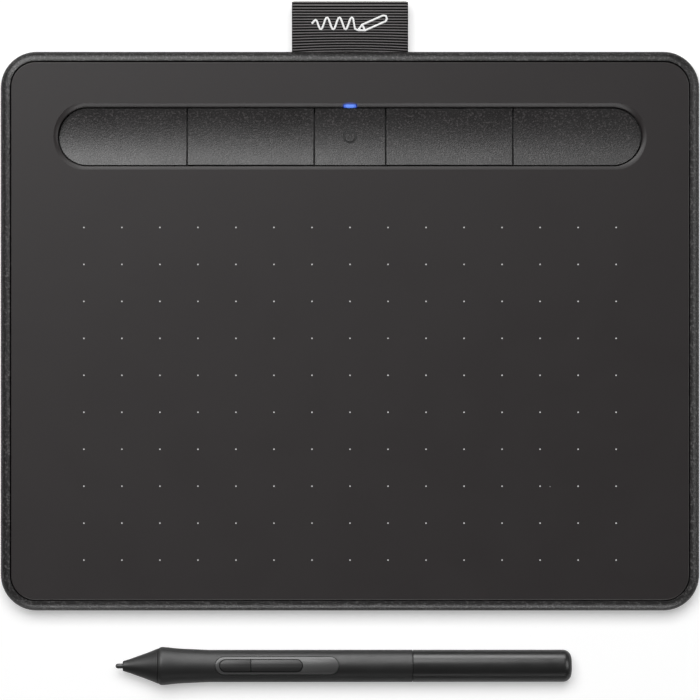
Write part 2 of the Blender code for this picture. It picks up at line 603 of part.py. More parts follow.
def pen_keys(frame):
    """The bezel set into the grip, and its two keys."""
    gap = 0.15 * MM
    bezel_x = (BEZEL_X[0] + gap, BEZEL_X[1] - gap)
    bezel = pen_slab("pen_key_bezel", bezel_x, BEZEL_WIDTH - 2 * gap, (1.6 * MM, 5.6 * MM), "pen_gloss", frame)
    keep_inside(bezel, along_axis("keep_bezel", BARREL_R, (27 * MM, 66 * MM), frame))
    cut(bezel, along_axis("cut_bezel_back", BORE_R, (26 * MM, 67 * MM), frame))
    opening_x = (BUTTONS_X[0] - gap, BUTTONS_X[1] + gap)
    cut(bezel, pen_slab("cut_buttons", opening_x, BUTTON_WIDTH + 2 * gap, (1 * MM, 6 * MM), "pen_gloss", frame))
    split = BUTTON_SPLIT_X / MM
    pen_key("pen_key_front", (29.4, split - 0.1), 35.2, frame)
    pen_key("pen_key_rear", (split + 0.1, 54.4), 46.3, frame)


def pen_key(name, x_range, stem_x, frame):
    """One of the pen's two keys, its retaining flange and its stem, and the dome switch below it."""
    low, high = x_range
    half = pen_slab(name, BUTTONS_X, BUTTON_WIDTH, (2.5 * MM, 4.8 * MM), "pen_matte", frame, top=0.35 * MM)
    keep_inside(half, spanned(f"keep_{name}", mm(low, -5, 0), mm(high, 5, 9), "pen_matte", frame))
    flange = spanned(f"add_flange_{name}", mm(low, -2.2, 2.3), mm(high, 2.2, 2.7), "pen_matte", frame)
    stem = post(f"add_stem_{name}", 0.7 * MM, (1.6 * MM, 2.5 * MM), mm(stem_x, 0, 0), "pen_matte", frame, steps=8)
    join(half, flange, stem)
    switch = block(name.replace("key", "switch"), mm(3.4, 2.6, 0.7), mm(stem_x, 0, 0.5), "inner_plastic", frame)
    dome_z = (0.5 * MM, 1.15 * MM)
    join(switch, post(f"add_dome_{name}", 0.9 * MM, dome_z, mm(stem_x, 0, 0), "inner_plastic", frame, steps=8))


# ---- The pen's insides -----------------------------------------------------------------------------
def nib(name, frame, steps=12):
    """A plastic nib: a worn-round tip and a straight shank."""
    length, radius = NIB_LENGTH / MM, NIB_R / MM
    outline = [(0, 0), (0.1, 0.35), (0.42, 0.62), (0.9, radius), (length - 0.1, radius), (length, 0.62), (length, 0)]
    return turned(name, outline, "nib_plastic", frame, steps=steps)


def pen_insides(frame):
    nib("pen_nib", frame)
    turned("pen_ferrite_core", [(14, 0.95), (14, 1.7), (21.5, 1.7), (21.5, 0.95)], "ferrite", frame, steps=16)
    turned("pen_coil", [(15.3, 1.75), (15.3, 2.4), (20.5, 2.4), (20.5, 1.75)], "copper", frame, steps=16)
    turned("pen_nib_holder", [(23.4, 0), (23.4, 0.8), (22.2, 0.8), (22.2, 1.5), (25.4, 1.5), (25.4, 0)],
           "inner_plastic", frame, steps=16)
    turned("pen_pressure_sensor", [(26.4, 0), (26.4, 2.5), (29, 2.5), (29, 0)], "inner_plastic", frame, steps=16)
    spanned("pen_circuit_board", mm(30, -3, -0.6), mm(82, 3, 0.1), "circuit_board", frame)
    chassis = turned("pen_chassis", [(13.6, 2.75), (13.6, 3.5), (83.5, 3.5), (83.5, 2.75)], "inner_plastic", frame,
                     steps=24)
    cut(chassis, spanned("cut_chassis", mm(10, -5, -0.7), mm(90, 5, 5), "inner_plastic", frame))
    for index, x in enumerate((14.0, 20.8)):
        saddle_low, saddle_high = mm(x, -2.1, -2.6), mm(x + 0.6, 2.1, -1.8)
        join(chassis, spanned(f"add_saddle_{index}", saddle_low, saddle_high, "inner_plastic", frame))


def spare_nibs(frame):
    """Three spare nibs in their holder, in the stub under the rear barrel."""
    holder = turned("spare_nib_holder", [(86, 0), (86, 3.3), (95.5, 3.3), (95.5, 0)], "inner_plastic", frame, steps=24)
    ring_radius, first_x = 1.75 * MM, 87.2 * MM
    for number in range(3):
        angle = math.radians(90 + 120 * number)
        place = Vector((first_x, ring_radius * math.cos(angle), ring_radius * math.sin(angle)))
        spare = nib(f"spare_nib_{number + 1}", frame, steps=10)
        spare.location = place
        hole = turned(f"cut_spare_{number}", [(0, 0), (0, 0.85), (12, 0.85), (12, 0)], "inner_plastic", frame, steps=10)
        hole.location = place - mm(0.1, 0, 0)
        cut(holder, hole)


def build_tablet(frame):
    rear_housing(frame)
    top_cover(frame)
    key_frame(frame)
    for name, x_range in key_ranges().items():
        key(name, x_range, frame)
    for index, place in enumerate(FOOT_PLACES):
        foot(index + 1, place, frame)
    for index, place in enumerate(SCREW_PLACES):
        casing_screw(index + 1, place, frame)
    electronics(frame)
    light_guide(frame)
    pen_loop(frame)
    loop_holding(frame)


def build_pen(frame):
    pen_shells(frame)
    pen_keys(frame)
    pen_insides(frame)
    spare_nibs(frame)


clear_scene()
PARTS = new_collection("pen_drawing_tablet")
CUTTERS = new_collection("cutters")
build_tablet(new_frame("tablet_frame", (0, TABLET_Y, 0)))
build_pen(new_frame("pen_frame", (PEN_TIP_X, TABLET_Y + PEN_Y, PEN_TIP_Z), PEN_TILT, PEN_ROLL))
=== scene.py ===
# %% [markdown]
# # A pen drawing tablet and its pen
# The engineering model gives every piece its place. This lesson dresses it: the shells that show are
# modelled again with fine curves, and every piece gets a finish made of nodes. The first cell loads the
# engineering model, and from then on each new piece rides on one of its bodies.

# %% Load the engineering model
import bisect
import math

import bmesh
import bpy
from mathutils import Matrix, Vector


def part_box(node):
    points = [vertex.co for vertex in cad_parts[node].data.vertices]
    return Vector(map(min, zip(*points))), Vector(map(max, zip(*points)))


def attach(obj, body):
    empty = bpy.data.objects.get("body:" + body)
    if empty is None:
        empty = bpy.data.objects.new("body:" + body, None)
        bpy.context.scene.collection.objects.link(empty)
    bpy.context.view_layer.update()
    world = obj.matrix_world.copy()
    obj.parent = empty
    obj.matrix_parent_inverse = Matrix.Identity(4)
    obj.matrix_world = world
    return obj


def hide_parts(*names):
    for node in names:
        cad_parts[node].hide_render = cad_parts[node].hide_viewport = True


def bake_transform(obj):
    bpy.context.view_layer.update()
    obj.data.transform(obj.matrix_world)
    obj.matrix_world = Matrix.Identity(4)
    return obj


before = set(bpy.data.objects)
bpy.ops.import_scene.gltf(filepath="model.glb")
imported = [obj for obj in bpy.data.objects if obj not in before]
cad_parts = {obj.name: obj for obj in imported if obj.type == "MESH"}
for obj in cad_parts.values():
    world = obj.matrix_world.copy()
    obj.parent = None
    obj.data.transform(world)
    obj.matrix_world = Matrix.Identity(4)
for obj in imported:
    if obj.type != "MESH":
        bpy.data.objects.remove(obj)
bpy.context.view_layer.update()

# %% [markdown]
# ## Sizes
# A real product starts with its driving sizes. Most of them can be read from the engineering model, so
# nothing here is fitted by eye. Lengths are in metres, so a millimetre gets a name.

# %% The sizes that several pieces share
MM = 0.001
casing_low, casing_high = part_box("rear_housing")
plate_low, plate_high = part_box("top_cover")
TABLET_Y = (casing_low[1] + casing_high[1]) / 2
SURFACE_Z = plate_high[2]
TROUGH_Y = TABLET_Y + 55.55 * MM
KEYS_REACH, KEYS_HALF_WIDTH, KEY_GAP = 83.15 * MM, 8.1 * MM, 0.35 * MM
TROUGH_REACH, TROUGH_HALF_WIDTH = KEYS_REACH + KEY_GAP, KEYS_HALF_WIDTH + KEY_GAP
ROLL_REACH, ROLL_HALF_WIDTH, ROLL_Y = 84.7 * MM, 9.55 * MM, TABLET_Y + 55.65 * MM
ROLL_DEPTH, ROLL_LEAN = 0.75 * MM, math.radians(3.0)
TROUGH_STEPS = 96


def mm(*values):
    """A point or a size in millimetres, as metres."""
    return Vector([value * MM for value in values])


def on_tablet(x, y, z):
    """A point given in millimetres from the tablet's middle, at table height."""
    return mm(x, y, z) + Vector((0, TABLET_Y, 0))


print(f"tablet's middle is at y = {TABLET_Y / MM:.3f} mm, its surface at z = {SURFACE_Z / MM:.2f} mm")

# %% [markdown]
# ## Tools of the bench
# Each piece is made as one would make it by hand: add a primitive, go into edit mode, select some
# edges or faces, then extrude, inset, bevel or spin. A script has no mouse, so it selects by place or
# by direction. These helpers do the selecting and keep each piece's origin at the world's, because a
# pattern in Object coordinates then stays where it is when the piece moves.

# %% Selecting, starting and finishing a piece
def only(piece):
    bpy.ops.object.select_all(action="DESELECT")
    piece.select_set(True)
    bpy.context.view_layer.objects.active = piece


def show(thing):
    """Puts a new object into the scene."""
    bpy.context.scene.collection.objects.link(thing)
    return thing


def start(name, add, **settings):
    """Adds a primitive, puts its place and turn into its mesh, and names it."""
    bpy.ops.object.select_all(action="DESELECT")
    add(**settings)
    piece = bpy.context.active_object
    piece.name = piece.data.name = name
    bpy.ops.object.transform_apply(location=True, rotation=True, scale=True)
    return piece


def edit(piece):
    only(piece)
    bpy.ops.object.mode_set(mode="EDIT")


def done():
    bpy.ops.object.mode_set(mode="OBJECT")


def pick(kind, wanted):
    """In edit mode, selects only the VERT, EDGE or FACE elements that pass a test."""
    bpy.ops.mesh.select_mode(type=kind)
    bpy.ops.mesh.select_all(action="DESELECT")
    mesh = bpy.context.active_object.data
    shape = bmesh.from_edit_mesh(mesh)
    elements = {"VERT": shape.verts, "EDGE": shape.edges, "FACE": shape.faces}[kind]
    for element in elements:
        if wanted(element):
            element.select_set(True)
    shape.select_flush_mode()
    bmesh.update_edit_mesh(mesh)


def face_outwards():
    """In edit mode, selects everything and turns every face outwards."""
    bpy.ops.mesh.select_all(action="SELECT")
    bpy.ops.mesh.normals_make_consistent(inside=False)


def push(x, y, z):
    """In edit mode, extrudes the selection and moves it."""
    bpy.ops.mesh.extrude_region_move(TRANSFORM_OT_translate={"value": (x, y, z)})


def level(edge, z):
    """Whether an edge lies flat at a height."""
    return all(abs(vertex.co.z - z) < 1e-6 for vertex in edge.verts)


def upright(edge):
    low, high = sorted(vertex.co.z for vertex in edge.verts)
    return high - low > 0.2 * MM


def round_edges(wanted, width, segments):
    pick("EDGE", wanted)
    bpy.ops.mesh.bevel(offset=width, segments=segments, affect="EDGES", clamp_overlap=False)


def modify(piece, kind, **settings):
    """Adds a modifier with its settings, and applies it."""
    only(piece)
    step = piece.modifiers.new(kind, kind)
    for label, value in settings.items():
        setattr(step, label, value)
    bpy.ops.object.modifier_apply(modifier=step.name)


def combine(piece, other, how="DIFFERENCE"):
    """Cuts, joins or intersects a piece with another, and uses the other up."""
    modify(piece, "BOOLEAN", operation=how, object=other, solver="EXACT")
    bpy.data.objects.remove(other, do_unlink=True)


def soften(piece, width, segments=2, angle=40):
    """Breaks the sharp edges, as every moulded or cut edge is broken."""
    modify(piece, "BEVEL", width=width, segments=segments, limit_method="ANGLE",
           angle_limit=math.radians(angle))


def smooth(piece, angle=30):
    only(piece)
    bpy.ops.object.shade_smooth_by_angle(angle=math.radians(angle))


def keep_flats(piece):
    """Lets the big faces set the shading, so that a small bevel doesn't bend the light on them."""
    modify(piece, "WEIGHTED_NORMAL", keep_sharp=True)


def settle(piece, body, slot, *stands_for):
    """Ties a finished piece to its body and hides the solids that it stands for. The slot is not used."""
    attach(piece, body)
    if stands_for:
        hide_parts(*stands_for)
    faces = len(piece.data.polygons)
    print(f"{piece.name}: {faces} faces, rides on {body}")


# %% [markdown]
# Two shapes come back again and again: the pill, which is a slab with round ends, and the block with
# rounded upright corners. The pill starts as a cylinder, and its two halves are pulled apart. The
# cylinder is turned by half a step first, so that no corner sits on the middle and the long sides come
# out straight.

# %% The pill and the rounded block
def pill(name, half_length, half_width, middle, z_range, steps=64):
    radius = half_width / math.cos(math.pi / steps)
    depth = z_range[1] - z_range[0]
    place = (middle[0], middle[1], sum(z_range) / 2)
    shape = start(name, bpy.ops.mesh.primitive_cylinder_add, vertices=steps, radius=radius, depth=depth,
                  location=place, rotation=(0, 0, math.pi / steps))
    edit(shape)
    for side in (-1, 1):
        pick("VERT", lambda vertex: side * (vertex.co.x - middle[0]) > 0)
        bpy.ops.transform.translate(value=(side * (half_length - half_width), 0, 0))
    done()
    return shape


def rounded_block(name, low, high, corner=0.0):
    shape = start(name, bpy.ops.mesh.primitive_cube_add, size=1, location=(Vector(low) + Vector(high)) / 2,
                  scale=Vector(high) - Vector(low))
    if corner:
        edit(shape)
        round_edges(upright, corner, 16)
        done()
    return shape


# %% [markdown]
# ## The casing
# The lower casing is one deep tray of black plastic, and its rim frames the drawing surface. It is a
# block whose upright corners are rounded first and whose top and bottom edges are rounded after that,
# because a bevel follows the corners that are already there. The top face is then inset by the width of
# the wall and pushed down, which leaves the tray.

# %% Round the block and sink the tray
RIM_Z = casing_high[2]
CASING_CORNER, RIM_ROUND, UNDER_ROUND = 10.3 * MM, 2.6 * MM, 3.0 * MM
LEDGE, LEDGE_STEP, LEDGE_DROP = 0.13 * MM, 0.12 * MM, 0.1 * MM
TRAY_FLOOR_Z = 2.0 * MM
casing = rounded_block("casing_shell", casing_low, casing_high, CASING_CORNER)
edit(casing)
round_edges(lambda edge: level(edge, RIM_Z), RIM_ROUND, 9)
round_edges(lambda edge: level(edge, casing_low[2]), UNDER_ROUND, 7)
pick("FACE", lambda face: face.normal.z > 0.99 and face.calc_area() > 0.01)
bpy.ops.mesh.inset(thickness=LEDGE)
bpy.ops.mesh.inset(thickness=LEDGE_STEP)
bpy.ops.transform.translate(value=(0, 0, -LEDGE_DROP))
push(0, 0, TRAY_FLOOR_Z - RIM_Z + LEDGE_DROP)
done()
print("casing:", len(casing.data.vertices), "vertices")

# %% [markdown]
# Holes come next: the slot for the ribbon, the mouth of the charging socket, the beds of the four feet
# and the sunk holes of the six screws. Each is a simple solid taken away with a Boolean, the way a
# mould's inserts leave them.

# %% Cut the holes
UNDER_Z = 0.3 * MM
FEET = [on_tablet(x, y, 0) for x in (-78.5, 78.5) for y in (-71, 71)]
SCREWS = [on_tablet(x, y, 0) for x in (-89.5, 89.5) for y in (-71, 12, 71)]
SOCKET = on_tablet(95.5, 55.5, 4.85)
combine(casing, rounded_block("slot_cut", on_tablet(-17.05, 77, 2.85), on_tablet(17.05, 82, 6.05)))
mouth = rounded_block("mouth_cut", SOCKET + mm(0, -4.2, -1.7), SOCKET + mm(8, 4.2, 1.7))
edit(mouth)
round_edges(lambda edge: abs(edge.verts[0].co.x - edge.verts[1].co.x) > 1 * MM, 1.2 * MM, 6)
done()
combine(casing, mouth)
for foot_place in FEET:
    combine(casing, pill("bed_cut", 16.8 * MM, 4.8 * MM, foot_place, (UNDER_Z, 1.2 * MM)))
for screw_place in SCREWS:
    for radius, top in ((2.3 * MM, 1.9 * MM), (1.35 * MM, 3 * MM)):
        middle = screw_place + Vector((0, 0, (top + UNDER_Z) / 2))
        combine(casing, start("screw_cut", bpy.ops.mesh.primitive_cylinder_add, vertices=40, radius=radius,
                              depth=top - UNDER_Z, location=middle))
smooth(casing)
settle(casing, "tablet", "casing_plastic", "rear_housing")

# %% [markdown]
# ## The drawing plate
# The plate is a thin slab with a trough for the keys. The trough's edge rolls over softly: deep at the
# back, where the keys lie low, and shallow in front. The cutter for it is grown upwards from a pill. Each
# extrusion is stretched a little more than the last and leans a little less. The lip's profile is halfway
# between a quarter of an ellipse and a straight chamfer: it starts at a crisp crease and ends steep.

# %% The slab and its collar
PLATE_THICKNESS, PLATE_CORNER, PLATE_EDGE = 1.5 * MM, 7.15 * MM, 0.25 * MM
COLLAR_REACH, COLLAR_HALF_WIDTH = 85.2 * MM, 9.3 * MM
plate_foot = (plate_low[0], plate_low[1], SURFACE_Z - PLATE_THICKNESS)
plate = rounded_block("drawing_plate", plate_foot, plate_high, PLATE_CORNER)
edit(plate)
round_edges(lambda edge: level(edge, SURFACE_Z), PLATE_EDGE, 3)
done()
collar = pill("collar_add", COLLAR_REACH, COLLAR_HALF_WIDTH, (0, TROUGH_Y), (6.2 * MM, 7.5 * MM),
              steps=TROUGH_STEPS)
combine(plate, collar, "UNION")

# %% Grow the trough's cutter, ring by ring
def lip_drop(run):
    """How deep the lip has sunk, as a share, at a share of its width from the crease."""
    return 0.5 * run + 0.5 * (1 - math.sqrt(1 - min(run, 1) ** 2))


trough = pill("trough_cut", TROUGH_REACH, TROUGH_HALF_WIDTH, (0, TROUGH_Y),
              (5 * MM, SURFACE_Z - ROLL_DEPTH), steps=TROUGH_STEPS)
edit(trough)
pick("FACE", lambda face: face.normal.z > 0.99)


def lean_back(angle):
    """Shears the selected ring, so that its back sinks and its front rises."""
    shape = bmesh.from_edit_mesh(trough.data)
    for vertex in shape.verts:
        if vertex.select:
            vertex.co.z -= math.tan(angle) * (vertex.co.y - TROUGH_Y)
    bmesh.update_edit_mesh(trough.data)


lean_back(ROLL_LEAN)
reach, half_width, middle_y, height = TROUGH_REACH, TROUGH_HALF_WIDTH, TROUGH_Y, SURFACE_Z - ROLL_DEPTH
LIP_RINGS = 12
for step in range(1, LIP_RINGS + 1):
    share = 1 - math.sin(math.radians(90 - 90 / LIP_RINGS * step))
    new_reach = TROUGH_REACH + (ROLL_REACH - TROUGH_REACH) * share
    new_half = TROUGH_HALF_WIDTH + (ROLL_HALF_WIDTH - TROUGH_HALF_WIDTH) * share
    new_y = TROUGH_Y + (ROLL_Y - TROUGH_Y) * share
    new_height = SURFACE_Z - ROLL_DEPTH * lip_drop(1 - share)
    push(0, new_y - middle_y, new_height - height)
    bpy.ops.transform.resize(value=(new_reach / reach, new_half / half_width, 1),
                             center_override=(0, new_y, new_height))
    lean_back(-ROLL_LEAN * (new_height - height) / ROLL_DEPTH)
    reach, half_width, middle_y, height = new_reach, new_half, new_y, new_height
push(0, 0, 1 * MM)
done()
combine(plate, trough)
combine(plate, rounded_block("window_cut", on_tablet(-1.95, 63.9, 5), on_tablet(1.95, 64.9, 10)))
smooth(plate)
edit(plate)
pick("FACE", lambda face: face.normal.z > 0.99999 and face.calc_center_median().z > SURFACE_Z - 1e-6)
bpy.ops.mesh.region_to_loop()
bpy.ops.mesh.mark_sharp()
done()
settle(plate, "tablet", "surface_plastic", "top_cover")

# %% [markdown]
# ## The keys
# Five keys share one hollow, so each is a strip of the same cylinder. An edge as long as the key is
# spun about an axis high above it, which sweeps the hollow. The sheet is pushed down and its lower side
# is flattened. The two outer keys are trimmed by a pill, as their ends are round.

# %% The hollow's circle
HOLLOW_RADIUS, HOLLOW_FRONT_Z, HOLLOW_BACK_Z = 33 * MM, 8.45 * MM, 7.3 * MM
KEY_FRONT = Vector((TROUGH_Y - KEYS_HALF_WIDTH, HOLLOW_FRONT_Z))
KEY_BACK = Vector((TROUGH_Y + KEYS_HALF_WIDTH, HOLLOW_BACK_Z))
key_chord = KEY_BACK - KEY_FRONT
half_turn = math.asin(key_chord.length / 2 / HOLLOW_RADIUS)
lean = math.atan2(key_chord.y, key_chord.x)
hollow_centre = ((KEY_FRONT + KEY_BACK) / 2
                 + HOLLOW_RADIUS * math.cos(half_turn) * Vector((-math.sin(lean), math.cos(lean))))


def hollow_z(y):
    """The height of the keys' hollow at a distance from the front."""
    return hollow_centre.y - math.sqrt(HOLLOW_RADIUS ** 2 - (y - hollow_centre.x) ** 2)


print("the hollow turns through", round(math.degrees(2 * half_turn), 1), "degrees")


# %% Sweep the five keys
CAP_UNDERSIDE_Z = 6.0 * MM


def keycap(name, low_x, high_x, trimmed):
    cap = start(name, bpy.ops.mesh.primitive_plane_add, size=1, location=(0, KEY_FRONT.x, KEY_FRONT.y))
    edit(cap)
    pick("VERT", lambda vertex: vertex.co.y > KEY_FRONT.x)
    bpy.ops.mesh.delete(type="VERT")
    pick("VERT", lambda vertex: True)
    shape = bmesh.from_edit_mesh(cap.data)
    for vertex, x in zip(sorted(shape.verts, key=lambda found: found.co.x), (low_x, high_x)):
        vertex.co = (x, KEY_FRONT.x, KEY_FRONT.y)
    bmesh.update_edit_mesh(cap.data)
    bpy.ops.mesh.spin(steps=28, angle=-2 * half_turn, center=(0, *hollow_centre), axis=(1, 0, 0))
    bpy.ops.mesh.select_all(action="SELECT")
    push(0, 0, -1 * MM)
    bpy.ops.transform.resize(value=(1, 1, 0), center_override=(0, 0, CAP_UNDERSIDE_Z))
    face_outwards()
    done()
    if trimmed:
        trim = pill("trim", KEYS_REACH, KEYS_HALF_WIDTH, (0, TROUGH_Y), (5 * MM, 10 * MM),
                    steps=TROUGH_STEPS)
        combine(cap, trim, "INTERSECT")
    return cap


KEYS = {
    "keycap_1": ("express_key_1", -KEYS_REACH, -46.8 * MM),
    "keycap_2": ("express_key_2", -46.4 * MM, -10.4 * MM),
    "keycap_power": ("power_key", -10.0 * MM, 10.0 * MM),
    "keycap_3": ("express_key_3", 10.4 * MM, 46.4 * MM),
    "keycap_4": ("express_key_4", 46.8 * MM, KEYS_REACH),
}
caps = {}
for name, (node, low_x, high_x) in KEYS.items():
    caps[name] = keycap(name, low_x, high_x, trimmed=KEYS_REACH in (-low_x, high_x))
    print(name, "spans", round((high_x - low_x) / MM, 1), "mm")

# %% [markdown]
# ## The power mark
# The middle key carries the usual power sign, pressed into it: a ring with a gap, and a bar through the
# gap. A small square spun round a point sweeps the ring. The same two shapes are made twice, once
# bigger to cut the recess and once thinner as the dark filling that lies in it.

# %% Press the mark in and fill it
MARK = on_tablet(0, 55.65, 0)
MARK_DEPTH, CUT_STROKE, FILL_STROKE, FILL_THICKNESS = 0.14 * MM, 0.54 * MM, 0.48 * MM, 0.05 * MM
mark_floor = hollow_z(MARK.y) - MARK_DEPTH


def power_sign(name, stroke, low, high):
    radius, gap = 1.68 * MM, math.radians(78)
    middle = (low + high) / 2
    first = Vector((math.sin(gap / 2), math.cos(gap / 2), 0)) * radius
    ring = start(name, bpy.ops.mesh.primitive_plane_add, size=1, location=(0, 0, 0))
    edit(ring)
    across = first.normalized()
    shape = bmesh.from_edit_mesh(ring.data)
    for vertex in shape.verts:
        sideways, up = vertex.co.x * stroke, vertex.co.y * (high - low)
        vertex.co = MARK + first + across * sideways + Vector((0, 0, middle + up))
    bmesh.update_edit_mesh(ring.data)
    bpy.ops.mesh.select_all(action="SELECT")
    bpy.ops.mesh.spin(steps=44, angle=2 * math.pi - gap, center=MARK, axis=(0, 0, 1))
    face_outwards()
    done()
    bar = rounded_block("bar", MARK + Vector((-stroke / 2, 0.5 * MM, low)),
                        MARK + Vector((stroke / 2, 3.3 * MM, high)))
    return ring, bar


for cutter in power_sign("mark_cut", CUT_STROKE, mark_floor, mark_floor + 1 * MM):
    combine(caps["keycap_power"], cutter)
mark, mark_bar = power_sign("power_mark", FILL_STROKE, mark_floor, mark_floor + FILL_THICKNESS)
only(mark)
mark_bar.select_set(True)
bpy.ops.object.join()
for name, (node, *_) in KEYS.items():
    soften(caps[name], 0.13 * MM, 3)
    smooth(caps[name], 60)
    keep_flats(caps[name])
    settle(caps[name], node, "key_plastic", node)
settle(mark, "power_key", "key_plastic")

# %% [markdown]
# ## The lamp
# A clear bar carries the blue light up to the trough's rolled edge. Its top follows the roll, so it is a
# block whose two upper edges are moved to two heights on the lip's profile, a hair below it.

# %% The lamp's bar
def roll_z(y):
    """The height of the rolled edge behind the keys."""
    run = (ROLL_Y + ROLL_HALF_WIDTH - y) / (ROLL_HALF_WIDTH - TROUGH_HALF_WIDTH + ROLL_Y - TROUGH_Y)
    depth = ROLL_DEPTH + math.tan(ROLL_LEAN) * TROUGH_HALF_WIDTH
    return SURFACE_Z - depth * lip_drop(run)


lamp_front, lamp_back = TABLET_Y + 64.1 * MM, TABLET_Y + 64.75 * MM
LAMP_HALF, LAMP_FOOT_Z, LAMP_TOP_Z, LAMP_SINK = 1.85 * MM, 4.25 * MM, 8.2 * MM, 0.03 * MM
lamp = rounded_block("lamp_bar", (-LAMP_HALF, lamp_front, LAMP_FOOT_Z), (LAMP_HALF, lamp_back, LAMP_TOP_Z))
edit(lamp)
for side_y in (lamp_front, lamp_back):
    pick("VERT", lambda vertex: vertex.co.z > LAMP_FOOT_Z + 1 * MM and abs(vertex.co.y - side_y) < 1e-6)
    bpy.ops.transform.translate(value=(0, 0, roll_z(side_y) - LAMP_SINK - LAMP_TOP_Z))
done()
soften(lamp, 0.08 * MM)
smooth(lamp)
settle(lamp, "tablet", "clear_plastic", "light_guide")

# %% [markdown]
# ## The dots
# A grid of 15 by 10 printed dots shows where the pen can be felt. One dot is a thin disc, and two Array
# modifiers repeat it along both directions.

# %% One dot, then the grid
DOTS_ACROSS, DOTS_DEEP, DOT_RADIUS, INK_DEPTH = 15, 10, 0.22 * MM, 0.012 * MM
dot_pitch = (152 * MM / (DOTS_ACROSS - 1), 95 * MM / (DOTS_DEEP - 1))
first_dot = on_tablet(-76, -17.9 - 47.5, 0) + Vector((0, 0, SURFACE_Z + INK_DEPTH / 3))
dots = start("dot_grid", bpy.ops.mesh.primitive_cylinder_add, vertices=14, radius=DOT_RADIUS, depth=INK_DEPTH,
             location=first_dot)
for axis, (count, pitch) in enumerate(zip((DOTS_ACROSS, DOTS_DEEP), dot_pitch)):
    shift = [pitch if axis == along else 0 for along in range(3)]
    modify(dots, "ARRAY", count=count, use_relative_offset=False, use_constant_offset=True,
           constant_offset_displace=shift)
settle(dots, "tablet", "surface_plastic")

# %% [markdown]
# ## Feet, screws and socket
# These are the small parts of the underside and of the right edge. Every one is modelled once, and what
# repeats is copied with its own mesh.

# %% Repeating a finished piece
def repeat(piece, places, slot, node):
    """Copies a piece from the first place to the others, then settles all of them on the tablet."""
    pieces = [piece]
    for number, place in enumerate(places[1:], 2):
        twin = show(piece.copy())
        twin.data = piece.data.copy()
        twin.name = twin.data.name = f"{piece.name[:-1]}{number}"
        twin.data.transform(Matrix.Translation(place - places[0]))
        pieces.append(twin)
    for number, placed in enumerate(pieces, 1):
        settle(placed, "tablet", slot, f"{node}_{number}")
    return pieces


# %% The rubber feet
foot = pill("foot_pad_1", 16.5 * MM, 4.5 * MM, FEET[0], (0, 1.1 * MM))
edit(foot)
round_edges(lambda edge: level(edge, 0), 0.35 * MM, 4)
done()
smooth(foot)
feet = repeat(foot, FEET, "rubber", "rubber_foot")

# %% The screws: a spun outline with a cross cut into the head
SCREW_OUTLINE = [(0, 1.36), (1.2, 1.38), (1.7, 1.5), (1.97, 1.75), (2.05, 2.05), (0.95, 2.05), (0.95, 6.5),
                 (0.4, 6.9), (0, 6.9)]


def spun(name, outline, place, along, steps):
    """A turned piece. The outline's points are (radius, distance) in millimetres, and along is its axis."""
    across = Vector((0, 0, 1)) if abs(along.z) < 0.5 else Vector((1, 0, 0))
    mesh = bpy.data.meshes.new(name)
    points = [place + across * radius * MM + along * distance * MM for radius, distance in outline]
    mesh.from_pydata(points, [(index, index + 1) for index in range(len(points) - 1)], [])
    piece = show(bpy.data.objects.new(name, mesh))
    edit(piece)
    bpy.ops.mesh.select_all(action="SELECT")
    bpy.ops.mesh.spin(steps=steps, angle=2 * math.pi, center=place, axis=along)
    bpy.ops.mesh.select_all(action="SELECT")
    bpy.ops.mesh.remove_doubles(threshold=0.002 * MM)
    face_outwards()
    done()
    return piece


screw = spun("bottom_screw_1", SCREW_OUTLINE, SCREWS[0], Vector((0, 0, 1)), 36)
for size in (mm(2.3, 0.5, 0.9), mm(0.5, 2.3, 0.9)):
    middle = SCREWS[0] + mm(0, 0, 1.35)
    combine(screw, rounded_block("cross_cut", middle - size / 2, middle + size / 2))
smooth(screw)
screws = repeat(screw, SCREWS, "steel", "casing_screw")

# %% The charging socket: a folded steel shell with a tongue
socket = rounded_block("charging_socket", SOCKET - mm(2.9, 3.8, 1.35), SOCKET + mm(2.9, 3.8, 1.35))
edit(socket)
round_edges(lambda edge: abs(edge.verts[0].co.x - edge.verts[1].co.x) > 1 * MM, 1.0 * MM, 6)
pick("FACE", lambda face: face.normal.x > 0.99)
bpy.ops.mesh.inset(thickness=0.22 * MM)
push(-5.0 * MM, 0, 0)
done()
tongue = rounded_block("tongue", SOCKET + mm(-2.6, -2.2, -0.3), SOCKET + mm(2.1, 2.2, 0.3))
combine(socket, tongue, "UNION")
smooth(socket)
settle(socket, "tablet", "steel", "usb_socket")

# %% [markdown]
# ## The pen's own frame
# The pen lies on its shoulder and on its heel, so its axis dips a little towards the heel. It is easier
# to model along a straight axis and to tilt each finished mesh once. A point is then given by its
# distance from the tip and by its distance from the axis. The pen has also rolled a little, so its keys
# face slightly towards the tablet.

# %% The pen's tilt and place
SHOULDER_X, SHOULDER_R, BARREL_R, HEEL_X = 13.3 * MM, 5.45 * MM, 4.6 * MM, 128.3 * MM
PEN_TILT = math.atan((SHOULDER_R - BARREL_R) / (HEEL_X - SHOULDER_X))
PEN_TIP = on_tablet(-67.2, -95.95, 0) + Vector(
    (0, 0, SHOULDER_X * math.sin(PEN_TILT) + SHOULDER_R * math.cos(PEN_TILT)))
PEN_ROLL = math.radians(-6)
PEN_PLACE = (Matrix.Translation(PEN_TIP) @ Matrix.Rotation(PEN_TILT, 4, "Y")
             @ Matrix.Rotation(PEN_ROLL, 4, "X"))
PEN_AXIS = Vector((1, 0, 0))
ROUND = 96


def turned(name, outline):
    """A piece turned about the pen's axis; the outline's points are (distance, radius) in millimetres."""
    return spun(name, [(radius, distance) for distance, radius in outline], Vector(), PEN_AXIS, ROUND)


